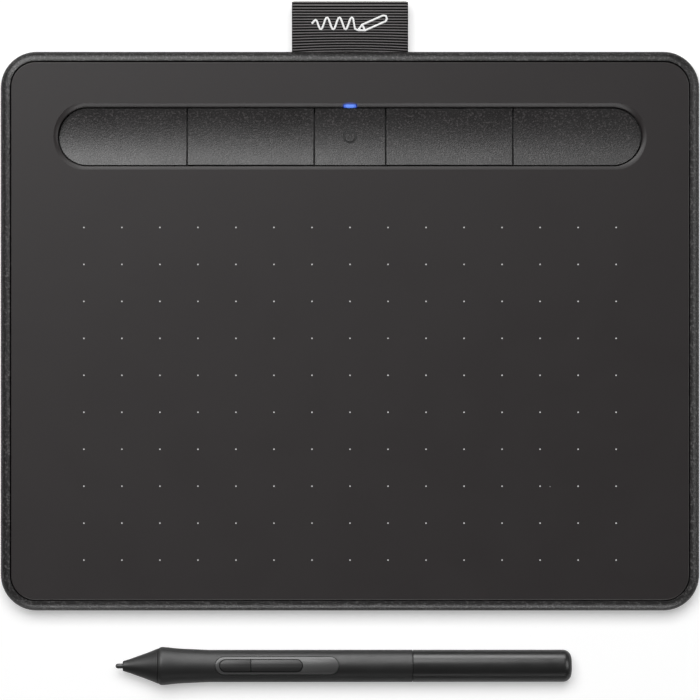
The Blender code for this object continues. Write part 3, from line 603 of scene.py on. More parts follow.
def lay_down(piece, body, slot, node):
    """Smooths a finished piece of the pen, turns it into its place and settles it."""
    smooth(piece)
    piece.data.transform(PEN_PLACE)
    settle(piece, body, slot, node)


def rounded_corner(start_point, end_point, steps):
    """Points of a quarter of an ellipse from one point of an outline to the next, bulging outwards."""
    (x0, r0), (x1, r1) = start_point, end_point
    points = []
    for step in range(steps + 1):
        angle = math.pi / 2 * step / steps
        points.append((x0 + (x1 - x0) * math.sin(angle), r1 + (r0 - r1) * math.cos(angle)))
    return points


print("the pen's axis dips", round(math.degrees(PEN_TILT), 2), "degrees")

# %% [markdown]
# ## Nose, grip and rear barrel
# Turned pieces come from an outline that is spun once round the axis. The nose is a nearly straight
# cone. The grip swells to a crisp shoulder and then runs in a long hollow into the straight barrel. The
# rear barrel is a glossy cap whose end is rounded off to a small flat.

# %% The nose cone
nose = turned("nose_cone", [
    (4.4, 0.95), (2.2, 0.95), *rounded_corner((2.45, 1.5), (2.1, 1.15), 5)[::-1], (4.1, 2.0), (5.8, 2.62),
    (7.5, 3.2), (9.2, 3.83), (10.6, 4.38), (11.7, 4.84), *rounded_corner((12.15, 5.02), (12.23, 4.94), 3),
    (12.23, 3.5), (13.2, 3.5), (13.2, 2.9), (10.5, 2.9), (4.4, 0.95)])
lay_down(nose, "pen", "pen_matte", "pen_nose")

# %% The grip, with its stub and its window for the keys
GRIP_SKIN = [
    (12.3, 3.65), (12.3, 4.98), (12.36, 5.08), (12.6, 5.2), (12.85, 5.33), (13.05, 5.41), (13.3, 5.45),
    (13.7, 5.45), (14.2, 5.41), (15.3, 5.3), (16.5, 5.16), (18.0, 5.02), (19.5, 4.93), (21.0, 4.86),
    (22.5, 4.79), (24.0, 4.72), (25.5, 4.65), (27.0, 4.61), (28.5, 4.6), (56.0, 4.6), (85.0, 4.6),
    (85.1, 4.5)]
GRIP_STUB = [(85.1, 3.9), (95.7, 3.9), (96, 3.7), (96, 3.42), (84, 3.42), (83.7, 3.65), (12.3, 3.65)]
grip = turned("grip_sleeve", GRIP_SKIN + GRIP_STUB)
BEZEL_MIDDLE, BEZEL_REACH, BEZEL_HALF = 46.35 * MM, 17.75 * MM, 2.65 * MM
combine(grip, pill("window_cut", BEZEL_REACH, BEZEL_HALF, (BEZEL_MIDDLE, 0), (1.5 * MM, 6 * MM)))
lay_down(grip, "pen", "pen_matte", "pen_grip")

# %% The rear barrel, a cap with a rounded end
barrel = turned("end_barrel", [
    (127.5, 0), (127.5, 3.6), (97.5, 3.6), (97.5, 4.02), (85.2, 4.02), (85.2, 4.5), (85.3, 4.6), (107, 4.6),
    *rounded_corner((128.2, 4.6), (130.7, 2.1), 10), (130.7, 0)])
lay_down(barrel, "rear_barrel", "pen_gloss", "pen_rear_barrel")

# %% The nib: a worn dome on a straight shank
nib = turned("pen_tip", [(0, 0), (0.03, 0.2), (0.14, 0.42), (0.34, 0.6), (0.62, 0.69), (0.95, 0.72),
                         (22.8, 0.72), (23.0, 0.6), (23.0, 0)])
lay_down(nib, "nib", "nib_plastic", "pen_nib")

# %% [markdown]
# ## The pen's keys
# The bezel is a pill cut from the barrel's own skin, so its face has the barrel's curve. A Boolean
# intersection of a cylinder and a pill gives that, a smaller cylinder clears its back and a narrower
# pill opens the well. The two keys are the halves of one pill with a softly crowned top.

# %% The bezel
BEZEL_GAP, BUTTON_GAP = 0.15 * MM, 0.22 * MM
bezel = pill("key_bezel", BEZEL_REACH - BEZEL_GAP, BEZEL_HALF - BEZEL_GAP, (BEZEL_MIDDLE, 0),
             (1.6 * MM, 5.6 * MM))


def bar_along_pen(name, radius):
    return start(name, bpy.ops.mesh.primitive_cylinder_add, vertices=2 * ROUND, radius=radius,
                 depth=44 * MM, location=(BEZEL_MIDDLE, 0, 0), rotation=(0, math.pi / 2, 0))


combine(bezel, bar_along_pen("skin", BARREL_R + 0.02 * MM), "INTERSECT")
combine(bezel, bar_along_pen("clear", 3.65 * MM))
WELL_MIDDLE, WELL_REACH, WELL_HALF = 41.8 * MM, 11.95 * MM, 1.875 * MM
combine(bezel, pill("well_cut", WELL_REACH, WELL_HALF, (WELL_MIDDLE, 0), (1 * MM, 6 * MM), steps=48))
soften(bezel, 0.16 * MM, 3, angle=45)
lay_down(bezel, "pen", "pen_gloss", "pen_key_bezel")

# %% The two keys
KEY_SPLIT = 38.9 * MM
buttons = []
for name, body, node, low_x, high_x, stem_x in (
        ("front_button", "pen_key_a", "pen_key_front", 29.4 * MM, KEY_SPLIT - 0.1 * MM, 35.2 * MM),
        ("rear_button", "pen_key_b", "pen_key_rear", KEY_SPLIT + 0.1 * MM, 54.4 * MM, 46.3 * MM)):
    button = pill(name, WELL_REACH - BUTTON_GAP, WELL_HALF - BUTTON_GAP, (WELL_MIDDLE, 0),
                  (2.5 * MM, 4.72 * MM), steps=48)
    keep = rounded_block("keep", (low_x, -3 * MM, 0), (high_x, 3 * MM, 9 * MM))
    combine(button, keep, "INTERSECT")
    combine(button, bar_along_pen("crown", 4.74 * MM), "INTERSECT")
    soften(button, 0.28 * MM, 4, angle=45)
    flange = rounded_block("flange", (low_x, -2.2 * MM, 2.3 * MM), (high_x, 2.2 * MM, 2.7 * MM))
    combine(button, flange, "UNION")
    stem = start("stem", bpy.ops.mesh.primitive_cylinder_add, vertices=16, radius=0.7 * MM, depth=1 * MM,
                 location=(stem_x, 0, 2.1 * MM))
    combine(button, stem, "UNION")
    lay_down(button, body, "pen_matte", node)
    buttons.append(button)

# %% [markdown]
# ## The woven loop
# The loop is one ribbon, folded in half, with both ends nipped inside the casing. A grosgrain ribbon has
# thick ribs across its width. The cloth is a grid that follows the fold's path, and its two faces are
# pushed out and in along the path to raise the ribs, because ribs that deep need real geometry.

# %% The ribbon's path: along the top, round the fold and back
LOOP_END_Y, LOOP_ROOT_Y, LOOP_Z = TABLET_Y + 72.2 * MM, TABLET_Y + 80.4 * MM, 4.45 * MM
LOOP_HALF_WIDTH = 33.3 * MM / 2
LAYER_ROOT, LAYER_BULGE, TAPER, FOLD_Y = 0.53 * MM, 1.45 * MM, 0.2, TABLET_Y + 94.21 * MM
FOLD_RADIUS = LAYER_ROOT + (LAYER_BULGE - LAYER_ROOT) * (1 - TAPER)
ARC_START_Y = FOLD_Y - FOLD_RADIUS
LAYER_STEPS, ARC_STEPS = 400, 120


def layer_offset(y):
    """How far each layer stands off the loop's middle plane."""
    share = max((y - LOOP_ROOT_Y) / (ARC_START_Y - LOOP_ROOT_Y), 0)
    swell = math.sin(math.pi / 2 * min(share / 0.5, 1))
    return LAYER_ROOT + (LAYER_BULGE - LAYER_ROOT) * swell * (1 - TAPER * share)


upper, arc = [], []
for step in range(LAYER_STEPS + 1):
    point = Vector((LOOP_END_Y + (ARC_START_Y - LOOP_END_Y) * step / LAYER_STEPS, 0))
    point.y = LOOP_Z + layer_offset(point.x)
    upper.append(point)
for step in range(1, ARC_STEPS):
    angle = math.pi * step / ARC_STEPS
    arc.append(Vector((ARC_START_Y + FOLD_RADIUS * math.sin(angle), LOOP_Z + FOLD_RADIUS * math.cos(angle))))
lower = [Vector((point.x, 2 * LOOP_Z - point.y)) for point in reversed(upper)]
path = upper + arc + lower
lengths = [0.0]
for first, second in zip(path, path[1:]):
    lengths.append(lengths[-1] + (second - first).length)
RIBBON_LENGTH = lengths[-1]
print(f"the ribbon is {RIBBON_LENGTH / MM:.1f} mm long and {2 * LOOP_HALF_WIDTH / MM:.1f} mm wide")


def along_path(distance):
    """The point of the path at a distance from its start, and the direction that faces outwards there."""
    distance = min(max(distance, 0), RIBBON_LENGTH)
    index = min(max(bisect.bisect_right(lengths, distance) - 1, 0), len(path) - 2)
    share = (distance - lengths[index]) / (lengths[index + 1] - lengths[index])
    ahead = (path[index + 1] - path[index]).normalized()
    return path[index].lerp(path[index + 1], share), Vector((-ahead.y, ahead.x))


# %% Weave the ribs into the mesh
RIB_PITCH, ROWS_PER_RIB, COLUMNS, BOW = 0.8 * MM, 8, 44, 1.3 * MM
GROOVE, RIB_HEIGHT = 0.13 * MM, 0.23 * MM
rows = int(RIBBON_LENGTH / RIB_PITCH * ROWS_PER_RIB)
ribbon = start("woven_loop", bpy.ops.mesh.primitive_grid_add, x_subdivisions=COLUMNS, y_subdivisions=rows,
               size=1)
edit(ribbon)
bpy.ops.mesh.select_all(action="SELECT")
bpy.ops.mesh.solidify(thickness=0.02)
done()
along_mark, rib_mark, across_mark = (ribbon.data.attributes.new(label, "FLOAT", "POINT")
                                     for label in ("along", "rib", "across"))
for vertex in ribbon.data.vertices:
    side = 1 if vertex.co.z > -0.01 else -1
    across, distance = vertex.co.x * 2, (vertex.co.y + 0.5) * RIBBON_LENGTH
    from_fold = 1 - distance / (RIBBON_LENGTH / 2)
    bow = math.copysign(BOW * (1 - across ** 2) * max(abs(from_fold) - 0.25, 0), from_fold)
    rib = abs(math.sin(math.pi * (distance - bow) / RIB_PITCH))
    along_mark.data[vertex.index].value = (distance - bow) / MM
    across_mark.data[vertex.index].value = across * LOOP_HALF_WIDTH / MM
    rib_mark.data[vertex.index].value = rib
    selvedge = min((1 - abs(across)) / 0.02, 1)
    half_thickness = (GROOVE + RIB_HEIGHT * rib ** 0.8) * (0.55 + 0.45 * selvedge)
    place, outwards = along_path(distance)
    place = place + outwards * side * half_thickness
    vertex.co = (across * LOOP_HALF_WIDTH, place.x, place.y)
edit(ribbon)
face_outwards()
done()
smooth(ribbon, 80)
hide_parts("pen_loop", "pen_loop_tail")
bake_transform(ribbon)
print("ribbon:", len(ribbon.data.polygons), "faces")

# %% [markdown]
# ## The embroidered sign
# A small sign is sewn on the loop in pale thread: a pen that draws a wave. Thread is a tube that lies on
# the cloth, so each stitch line is a curve with a round bevel, turned into a mesh and pressed flat.

# %% Sew the pen and its wave
THREAD_RADIUS = 0.29 * MM


def ribbon_top(y):
    return LOOP_Z + layer_offset(y) + GROOVE + RIB_HEIGHT


wave = [(-11.0 + 0.35 * step, 88.1 + 1.75 * math.sin(step * 0.62) * min(1, step / 5)) for step in range(35)]
STITCH_LINES = [
    wave + [(1.4, 86.6), (2.3, 86.15)],
    [(2.3, 86.15), (3.5, 87.75), (9.5, 90.4)],
    [(2.3, 86.15), (4.3, 86.1), (10.3, 88.75)],
    [(9.5, 90.4), (10.25, 90.25), (10.6, 89.5), (10.3, 88.75)],
    [(3.5, 87.75), (4.3, 86.1)],
]
threads = []
for number, line in enumerate(STITCH_LINES):
    curve = bpy.data.curves.new(f"stitches_{number}", "CURVE")
    curve.dimensions, curve.use_fill_caps = "3D", True
    curve.bevel_depth, curve.bevel_resolution = THREAD_RADIUS, 3
    spline = curve.splines.new("POLY")
    spline.points.add(len(line) - 1)
    for point, (x, y) in zip(spline.points, line):
        world_y = TABLET_Y + y * MM
        point.co = (x * MM, world_y, ribbon_top(world_y), 1)
    only(show(bpy.data.objects.new(f"stitches_{number}", curve)))
    bpy.ops.object.convert(target="MESH")
    threads.append(bpy.context.active_object)
    edit(threads[-1])
    bpy.ops.mesh.select_all(action="SELECT")
    bpy.ops.mesh.remove_doubles(threshold=0.001 * MM)
    face_outwards()
    done()
only(threads[0])
for thread in threads[1:]:
    thread.select_set(True)
bpy.ops.object.join()
sign = bpy.context.active_object
sign.name = sign.data.name = "loop_sign"
for vertex in sign.data.vertices:
    ground = ribbon_top(vertex.co.y)
    vertex.co.z = ground + (vertex.co.z - ground) * 0.5
smooth(sign, 60)
settle(sign, "loop", "ribbon")

# %% [markdown]
# ## Finishes
# A finish is a Principled shader with a few textures before it. What never changes over a surface is set
# on the shader's own socket, and what does change comes from nodes. Small helpers keep the wiring
# readable: the first adds any node with its inputs, and the others name what is needed again and again.

# %% Wiring nodes
def wire(tree, kind, inputs=(), **settings):
    """Adds a node, then sets its properties, and sets or links its inputs."""
    node = tree.nodes.new(kind)
    for label, value in settings.items():
        setattr(node, label, value)
    for label, value in dict(inputs).items():
        if isinstance(value, bpy.types.NodeSocket):
            tree.links.new(value, node.inputs[label])
        else:
            node.inputs[label].default_value = value
    return node


def feed(shader, label, value):
    """Links a value to one of the shader's inputs."""
    shader.id_data.links.new(value, shader.inputs[label])


def maths(tree, operation, *values):
    return wire(tree, "ShaderNodeMath", enumerate(values), operation=operation).outputs[0]


def vector_maths(tree, operation, *vectors):
    return wire(tree, "ShaderNodeVectorMath", enumerate(vectors), operation=operation).outputs


def remap(tree, value, low, high, new_low=0.0, new_high=1.0):
    """Stretches a value from one range to another, and clamps it there."""
    inputs = {"Value": value, "From Min": low, "From Max": high, "To Min": new_low, "To Max": new_high}
    return wire(tree, "ShaderNodeMapRange", inputs).outputs["Result"]


def mix_colours(tree, amount, first, second):
    return wire(tree, "ShaderNodeMix", {0: amount, 6: first, 7: second}, data_type="RGBA").outputs[2]


def object_place(tree):
    return tree.nodes.new("ShaderNodeTexCoord").outputs["Object"]


def stretched(tree, scale):
    """The place on the piece, scaled along each axis."""
    return wire(tree, "ShaderNodeMapping", {"Vector": object_place(tree), "Scale": scale}).outputs[0]


def part(tree, vector, axis):
    return wire(tree, "ShaderNodeSeparateXYZ", {0: vector}).outputs[axis]


def cell_number(tree, cells):
    """A number between 0 and 1 that is different in each cell of a Voronoi texture."""
    return wire(tree, "ShaderNodeSeparateColor", {0: cells.outputs["Color"]}).outputs[0]


def noise(tree, place, scale, detail=2.0, roughness=0.5, distortion=0.0):
    inputs = {"Vector": place, "Scale": scale, "Detail": detail, "Roughness": roughness,
              "Distortion": distortion}
    return wire(tree, "ShaderNodeTexNoise", inputs).outputs["Fac"]


def grey(value, warmth=0.0):
    """A near-neutral colour, a little warmer (or cooler, below zero) than grey."""
    return value * (1 + warmth), value, value * (1 + 0.1 * warmth), 1


# %% [markdown]
# Several finishes share an effect: the grain that the mould gives, with a few grains painted lighter as
# painted glints, the shine that fingers leave, and dust. Each is a node group with named inputs and
# outputs, built once here and placed in each material with its own values.

# %% Making a group
def new_group(name, inputs, outputs):
    """A node group with number inputs (name: default) and number outputs."""
    group = bpy.data.node_groups.new(name, "ShaderNodeTree")
    for label, default in inputs.items():
        entry = group.interface.new_socket(label, in_out="INPUT", socket_type="NodeSocketFloat")
        entry.default_value = default
    for label in outputs:
        group.interface.new_socket(label, in_out="OUTPUT", socket_type="NodeSocketFloat")
    return group, group.nodes.new("NodeGroupInput").outputs, group.nodes.new("NodeGroupOutput").inputs


def place_group(tree, group, **values):
    inputs = {label.replace("_", " ").capitalize(): value for label, value in values.items()}
    return wire(tree, "ShaderNodeGroup", inputs, node_tree=group).outputs


# %% Moulded grain: pits and bumps, and painted glints, a few grains painted lighter in place of the light they catch
GRAIN_AND_PAINTED_GLINT, given, result = new_group("moulded grain", {"Size": 0.3 * MM}, ["Height", "Glint"])
grain_place, grain_scale = object_place(GRAIN_AND_PAINTED_GLINT), maths(GRAIN_AND_PAINTED_GLINT, "DIVIDE", 1.0, given["Size"])
bumps = noise(GRAIN_AND_PAINTED_GLINT, grain_place, grain_scale, detail=3.0, roughness=0.6)
pit_scale = maths(GRAIN_AND_PAINTED_GLINT, "MULTIPLY", grain_scale, 0.8)
pits = wire(GRAIN_AND_PAINTED_GLINT, "ShaderNodeTexVoronoi", {"Vector": grain_place, "Scale": pit_scale}).outputs["Distance"]
GRAIN_AND_PAINTED_GLINT.links.new(maths(GRAIN_AND_PAINTED_GLINT, "MULTIPLY_ADD", pits, 0.6, bumps), result["Height"])
# The mask of grains painted lighter: painted highlights, in place of the light that they catch.
painted_glint_scale = maths(GRAIN_AND_PAINTED_GLINT, "MULTIPLY", grain_scale, 0.62)
GRAIN_AND_PAINTED_GLINT.links.new(remap(GRAIN_AND_PAINTED_GLINT, noise(GRAIN_AND_PAINTED_GLINT, grain_place, painted_glint_scale, detail=1.0), 0.52, 0.72), result["Glint"])

# %% Handling: soft patches where skin has smoothed the surface
HANDLING, given, result = new_group("handling", {"Size": 25 * MM}, ["Shine"])
patch_place, patch_scale = object_place(HANDLING), maths(HANDLING, "DIVIDE", 1.0, given["Size"])
patches = noise(HANDLING, patch_place, patch_scale, detail=4.0, roughness=0.55, distortion=0.8)
HANDLING.links.new(remap(HANDLING, patches, 0.42, 0.66), result["Shine"])

# %% Dust: a few pale specks, only where the surface faces up
DUST, given, result = new_group("dust", {"Density": 0.02}, ["Specks"])
specks = wire(DUST, "ShaderNodeTexVoronoi", {"Vector": object_place(DUST), "Scale": 420.0})
speck = remap(DUST, specks.outputs["Distance"], 0.05, 0.09, 1.0, 0.0)
chosen = maths(DUST, "LESS_THAN", cell_number(DUST, specks), given["Density"])
facing = DUST.nodes.new("ShaderNodeTexCoord").outputs["Normal"]
upwards = remap(DUST, part(DUST, facing, "Z"), 0.6, 0.9)
DUST.links.new(maths(DUST, "MULTIPLY", maths(DUST, "MULTIPLY", speck, chosen), upwards), result["Specks"])
print("shared effects:", ", ".join(group.name for group in (GRAIN_AND_PAINTED_GLINT, HANDLING, DUST)))

# %% [markdown]
# Nearly everything that shows is black plastic, and only its grain, gloss and depth of black tell one
# piece from the next. One function makes them all: grain for the height and for painted glints (grains
# painted lighter as highlights), handling for patches of lower roughness, and dust on top.

# %% A material with its shader's fixed values
def inside(material):
    """A material's nodes and its shader."""
    return material.node_tree, material.node_tree.nodes["Principled BSDF"]


def new_finish(name, fixed=()):
    material = bpy.data.materials.new(name)
    material.use_nodes = True
    tree, shader = inside(material)
    for label, value in dict(fixed).items():
        shader.inputs[label].default_value = value
    return material, tree, shader


def raise_height(tree, shader, height, depth):
    """Feeds a height to the shader's normal, as relief of a depth in metres."""
    relief = wire(tree, "ShaderNodeBump", {"Height": height, "Strength": 1.0, "Distance": depth})
    feed(shader, "Normal", relief.outputs["Normal"])


# %% Any moulded plastic
def moulded(name, black, glint, roughness, grain, depth, shine=0.08, dust=0.01):
    """Black is the base colour, and the grains' lighter colour is painted as highlights, in place of the
    light that the grains catch. Their size and depth are in millimetres.
    """
    material, tree, shader = new_finish(name)
    texture = place_group(tree, GRAIN_AND_PAINTED_GLINT, size=grain * MM)
    # Painted highlights: a few grains painted lighter in the base colour.
    colour = mix_colours(tree, texture["Glint"], black, glint)
    if dust:
        colour = mix_colours(tree, place_group(tree, DUST, density=dust)["Specks"], colour, grey(0.16))
    feed(shader, "Base Color", colour)
    smoothed = place_group(tree, HANDLING)["Shine"]
    uneven = remap(tree, texture["Height"], 0.2, 1.2, roughness - 0.04, roughness + 0.06)
    feed(shader, "Roughness", maths(tree, "MULTIPLY_ADD", smoothed, -shine, uneven))
    raise_height(tree, shader, texture["Height"], depth * MM)
    return material


# %% The black plastics
# The second colour of each is that of the grains painted lighter as highlights.
casing_finish = moulded("spark-textured casing", grey(0.005, 0.1), grey(0.055, 0.05), 0.41, 0.36, 0.060,
                        shine=0.04)
key_finish = moulded("keycap plastic", grey(0.005, 0.15), grey(0.030, 0.1), 0.41, 0.32, 0.034, shine=0.04)
grip_finish = moulded("soft-touch grip", grey(0.010), grey(0.016), 0.50, 0.10, 0.004, shine=0.10)
nose_finish = moulded("nose plastic", grey(0.010), grey(0.016), 0.46, 0.10, 0.004, shine=0.06)
bezel_finish = moulded("satin bezel", grey(0.044), grey(0.050), 0.36, 0.10, 0.002, shine=0.05)
button_finish = moulded("pen key plastic", grey(0.010), grey(0.016), 0.46, 0.10, 0.004)
rubber_finish = moulded("foot rubber", grey(0.018), grey(0.024), 0.78, 0.20, 0.010, dust=0.08)
inner_finish = moulded("unpainted inner plastic", grey(0.060), grey(0.085), 0.55, 0.28, 0.010, dust=0)

# %% [markdown]
# The rear barrel is polished. Under the gloss the plastic has no grain at all, only a very faint waviness
# from the mould and fine hairlines where the pen has been put down and picked up.

# %% Polished plastic
def polished(name, black, roughness):
    material, tree, shader = new_finish(name)
    smoothed = place_group(tree, HANDLING, size=9 * MM)["Shine"]
    hairlines = remap(tree, noise(tree, stretched(tree, (0.06, 1, 1)), 5200.0), 0.60, 0.70)
    feed(shader, "Base Color", mix_colours(tree, hairlines, black, grey(black[1] * 1.25)))
    scuffed = maths(tree, "MULTIPLY_ADD", hairlines, 0.05, roughness)
    feed(shader, "Roughness", maths(tree, "MULTIPLY_ADD", smoothed, 0.05, scuffed))
    raise_height(tree, shader, noise(tree, object_place(tree), 140.0, detail=1.0), 0.008 * MM)
    return material


barrel_finish = polished("polished barrel", grey(0.012), 0.31)

# %% [markdown]
# The drawing plate is the finest surface: a matte film with tooth, so that the nib feels like a pencil.
# It also carries the lamp's glow, a soft blue spill on the rolled edge behind the middle key. The glow is
# a mask round the lamp that feeds the emission colour.

# %% The drawing plate and the lamp's glow
plate_finish = moulded("toothed drawing film", grey(0.0050, 0.45), grey(0.0064, 0.45), 0.50, 0.16, 0.004,
                       shine=0.02, dust=0.002)
tree, shader = inside(plate_finish)
shader.inputs["Emission Strength"].default_value = 1.0
GLOW_CENTRE, GLOW_REACH = on_tablet(0, 64.42, 7.9), (2.7, 1.15, 4)
from_lamp = vector_maths(tree, "SUBTRACT", object_place(tree), GLOW_CENTRE)[0]
in_reaches = vector_maths(tree, "MULTIPLY", from_lamp, tuple(1 / (reach * MM) for reach in GLOW_REACH))[0]
from_centre = vector_maths(tree, "LENGTH", in_reaches)["Value"]
glow = maths(tree, "POWER", remap(tree, from_centre, 0.6, 1.0, 1.0, 0.0), 1.5)
feed(shader, "Emission Color", mix_colours(tree, glow, (0, 0, 0, 1), (0.012, 0.03, 0.22, 1)))

# %% The lamp's clear bar, brightest in its middle
lamp_finish, tree, shader = new_finish("lit clear bar", {"Roughness": 0.25, "Emission Strength": 1.0,
                                                         "Base Color": (0.10, 0.16, 0.45, 1)})
from_middle = maths(tree, "ABSOLUTE", part(tree, object_place(tree), "X"))
brightness = remap(tree, from_middle, 0.9 * MM, LAMP_HALF, 1.0, 0.0)
lamp_blue = mix_colours(tree, brightness, (0.01, 0.04, 0.42, 1), (0.12, 0.25, 0.86, 1))
feed(shader, "Emission Color", lamp_blue)

# %% Printed dots and the sunk power mark
def painted(name, colour, other, roughness):
    """A thin paint whose cover is a little uneven."""
    material, tree, shader = new_finish(name, {"Roughness": roughness})
    cover = remap(tree, noise(tree, object_place(tree), 2600.0), 0.35, 0.65)
    feed(shader, "Base Color", mix_colours(tree, cover, colour, other))
    return material


dot_finish = painted("dot print", grey(0.46), grey(0.58), 0.6)
mark_finish = painted("mark filling", grey(0.006), grey(0.012), 0.7)

# %% The nib: black plastic, scoured grey round its worn end
nib_finish = moulded("nib plastic", grey(0.030), grey(0.040), 0.42, 0.12, 0.003, dust=0)
tree, shader = inside(nib_finish)
base = shader.inputs["Base Color"].links[0].from_socket
along_pen = part(tree, object_place(tree), "X")
worn_end = remap(tree, along_pen, PEN_TIP.x, PEN_TIP.x + 0.5 * MM, 0.8, 0.0)
feed(shader, "Base Color", mix_colours(tree, worn_end, base, grey(0.11)))

# %% [markdown]
# ## Cloth and thread
# The ribs are already in the ribbon's mesh. Its yarns are finer: the long yarns climb over every rib side
# by side, and each rib shifts them by half a yarn. Their pattern has to follow the fold, so it is worked
# out from the two distances that the mesh stores, along and across, in millimetres.

# %% The ribbon
YARN = 0.26
WEAVE_AND_PAINTED_LIGHT, given, result = new_group("ribbed weave", {"Yarn": YARN, "Pitch": RIB_PITCH / MM}, ["Height", "Shade"])
along, across, rib = (wire(WEAVE_AND_PAINTED_LIGHT, "ShaderNodeAttribute", attribute_name=label).outputs["Fac"]
                      for label in ("along", "across", "rib"))
rib_number = maths(WEAVE_AND_PAINTED_LIGHT, "FLOOR", maths(WEAVE_AND_PAINTED_LIGHT, "DIVIDE", along, given["Pitch"]))
turns = maths(WEAVE_AND_PAINTED_LIGHT, "MULTIPLY_ADD", rib_number, 0.5, maths(WEAVE_AND_PAINTED_LIGHT, "DIVIDE", across, given["Yarn"]))
yarn = maths(WEAVE_AND_PAINTED_LIGHT, "ABSOLUTE", maths(WEAVE_AND_PAINTED_LIGHT, "SINE", maths(WEAVE_AND_PAINTED_LIGHT, "MULTIPLY", turns, math.pi)))
fuzz = noise(WEAVE_AND_PAINTED_LIGHT, object_place(WEAVE_AND_PAINTED_LIGHT), 4200.0, detail=3.0)
WEAVE_AND_PAINTED_LIGHT.links.new(maths(WEAVE_AND_PAINTED_LIGHT, "MULTIPLY_ADD", fuzz, 0.5, yarn), result["Height"])
# Painted light and shade: the rib crests are painted lighter, the grooves between the ribs darker, and each
# yarn darker at its sides.
lit = maths(WEAVE_AND_PAINTED_LIGHT, "MULTIPLY", remap(WEAVE_AND_PAINTED_LIGHT, rib, 0.68, 0.98), remap(WEAVE_AND_PAINTED_LIGHT, yarn, 0.0, 0.8, 0.55, 1.0))
WEAVE_AND_PAINTED_LIGHT.links.new(maths(WEAVE_AND_PAINTED_LIGHT, "MULTIPLY", lit, remap(WEAVE_AND_PAINTED_LIGHT, fuzz, 0.3, 0.7, 0.75, 1.0)), result["Shade"])

ribbon_finish, tree, shader = new_finish("grosgrain ribbon", {"Roughness": 0.9, "Sheen Weight": 0.03,
                                                              "Specular IOR Level": 0.1})
woven = place_group(tree, WEAVE_AND_PAINTED_LIGHT, yarn=YARN)
# The first colour is the grooves' painted shade and the second the rib crests' painted highlight.
feed(shader, "Base Color", mix_colours(tree, woven["Shade"], grey(0.002), grey(0.19, 0.06)))
raise_height(tree, shader, woven["Height"], 0.05 * MM)

# %% The embroidery thread, with its twist, painted darker in the twist's grooves
thread_finish, tree, shader = new_finish("embroidery thread", {"Roughness": 0.55, "Sheen Weight": 0.3})
waves = {"Vector": object_place(tree), "Scale": 1300.0, "Distortion": 1.2, "Detail": 2.0}
twist_and_painted_shade = wire(tree, "ShaderNodeTexWave", waves, wave_type="BANDS", bands_direction="DIAGONAL").outputs["Fac"]
# The thread is painted darker in the grooves of its twist: painted shade between the plies.
feed(shader, "Base Color", mix_colours(tree, twist_and_painted_shade, grey(0.70), grey(0.90)))
raise_height(tree, shader, twist_and_painted_shade, 0.06 * MM)

# %% [markdown]
# ## Metals
# Steel sheet is brushed along its length, so its roughness comes from a noise that is stretched that way.
# Copper is wound in the coil and laid in tracks in the flat cable: both are bands across one direction.

# %% Steel
def brushed(name, colour, roughness, direction):
    material, tree, shader = new_finish(name, {"Metallic": 1.0})
    streaks = noise(tree, stretched(tree, direction), 2600.0, detail=3.0)
    feed(shader, "Base Color", mix_colours(tree, streaks, colour, grey(colour[1] * 0.82)))
    feed(shader, "Roughness", remap(tree, streaks, 0.3, 0.7, roughness - 0.08, roughness + 0.1))
    raise_height(tree, shader, streaks, 0.003 * MM)
    return material


sheet_steel_finish = brushed("brushed sheet steel", grey(0.62), 0.34, (0.05, 1, 1))
screw_finish = brushed("zinc-plated steel", grey(0.55, 0.01), 0.38, (1, 1, 1))

# %% Copper in bands: the coil's turns and the flat cable's tracks
def banded(name, bright, dark, pitch, depth, metallic):
    material, tree, shader = new_finish(name, {"Metallic": metallic, "Roughness": 0.3})
    phase = maths(tree, "MULTIPLY", part(tree, object_place(tree), "X"), math.pi / pitch)
    band = maths(tree, "ABSOLUTE", maths(tree, "SINE", phase))
    fleck = noise(tree, object_place(tree), 1800.0)
    # On the coil the darker colour between the turns is painted shade in the crevices between the wires; on
    # the flat cable it is the film between the tracks.
    shade = maths(tree, "MULTIPLY", remap(tree, band, 0.2, 0.7), remap(tree, fleck, 0.3, 0.7, 0.8, 1.0))
    feed(shader, "Base Color", mix_colours(tree, shade, dark, bright))
    raise_height(tree, shader, band, depth)
    return material


coil_finish = banded("wound copper", (0.78, 0.36, 0.20, 1), (0.20, 0.07, 0.03, 1),
                     pitch=0.14 * MM, depth=0.05 * MM, metallic=1.0)
flex_finish = banded("flat cable film", (0.62, 0.30, 0.08, 1), (0.30, 0.12, 0.03, 1),
                     pitch=0.5 * MM, depth=0.01 * MM, metallic=0.3)

# %% [markdown]
# ## Boards, battery and wires
# A board is green lacquer over copper tracks. The tracks are the borders between square cells of a
# Voronoi texture, which run level and upright as real tracks do, and round pads sit at some of its cells.

# %% Circuit board
board_finish, tree, shader = new_finish("lacquered circuit board", {"Coat Roughness": 0.2})
cells = {"Vector": object_place(tree), "Scale": 260.0}
nearest, second = (wire(tree, "ShaderNodeTexVoronoi", cells, distance="CHEBYCHEV", feature=rank)
                   for rank in ("F1", "F2"))
from_border = maths(tree, "SUBTRACT", second.outputs["Distance"], nearest.outputs["Distance"])
track = remap(tree, from_border, 0.06, 0.10, 1.0, 0.0)
pad_cells = wire(tree, "ShaderNodeTexVoronoi", {"Vector": object_place(tree), "Scale": 180.0})
pad = maths(tree, "MULTIPLY", remap(tree, pad_cells.outputs["Distance"], 0.14, 0.17, 1.0, 0.0),
            maths(tree, "LESS_THAN", cell_number(tree, pad_cells), 0.35))
lacquer = mix_colours(tree, track, (0.006, 0.055, 0.022, 1), (0.015, 0.13, 0.05, 1))
feed(shader, "Base Color", mix_colours(tree, pad, lacquer, (0.80, 0.62, 0.30, 1)))
feed(shader, "Metallic", pad)
feed(shader, "Roughness", remap(tree, pad, 0, 1, 0.38, 0.28))
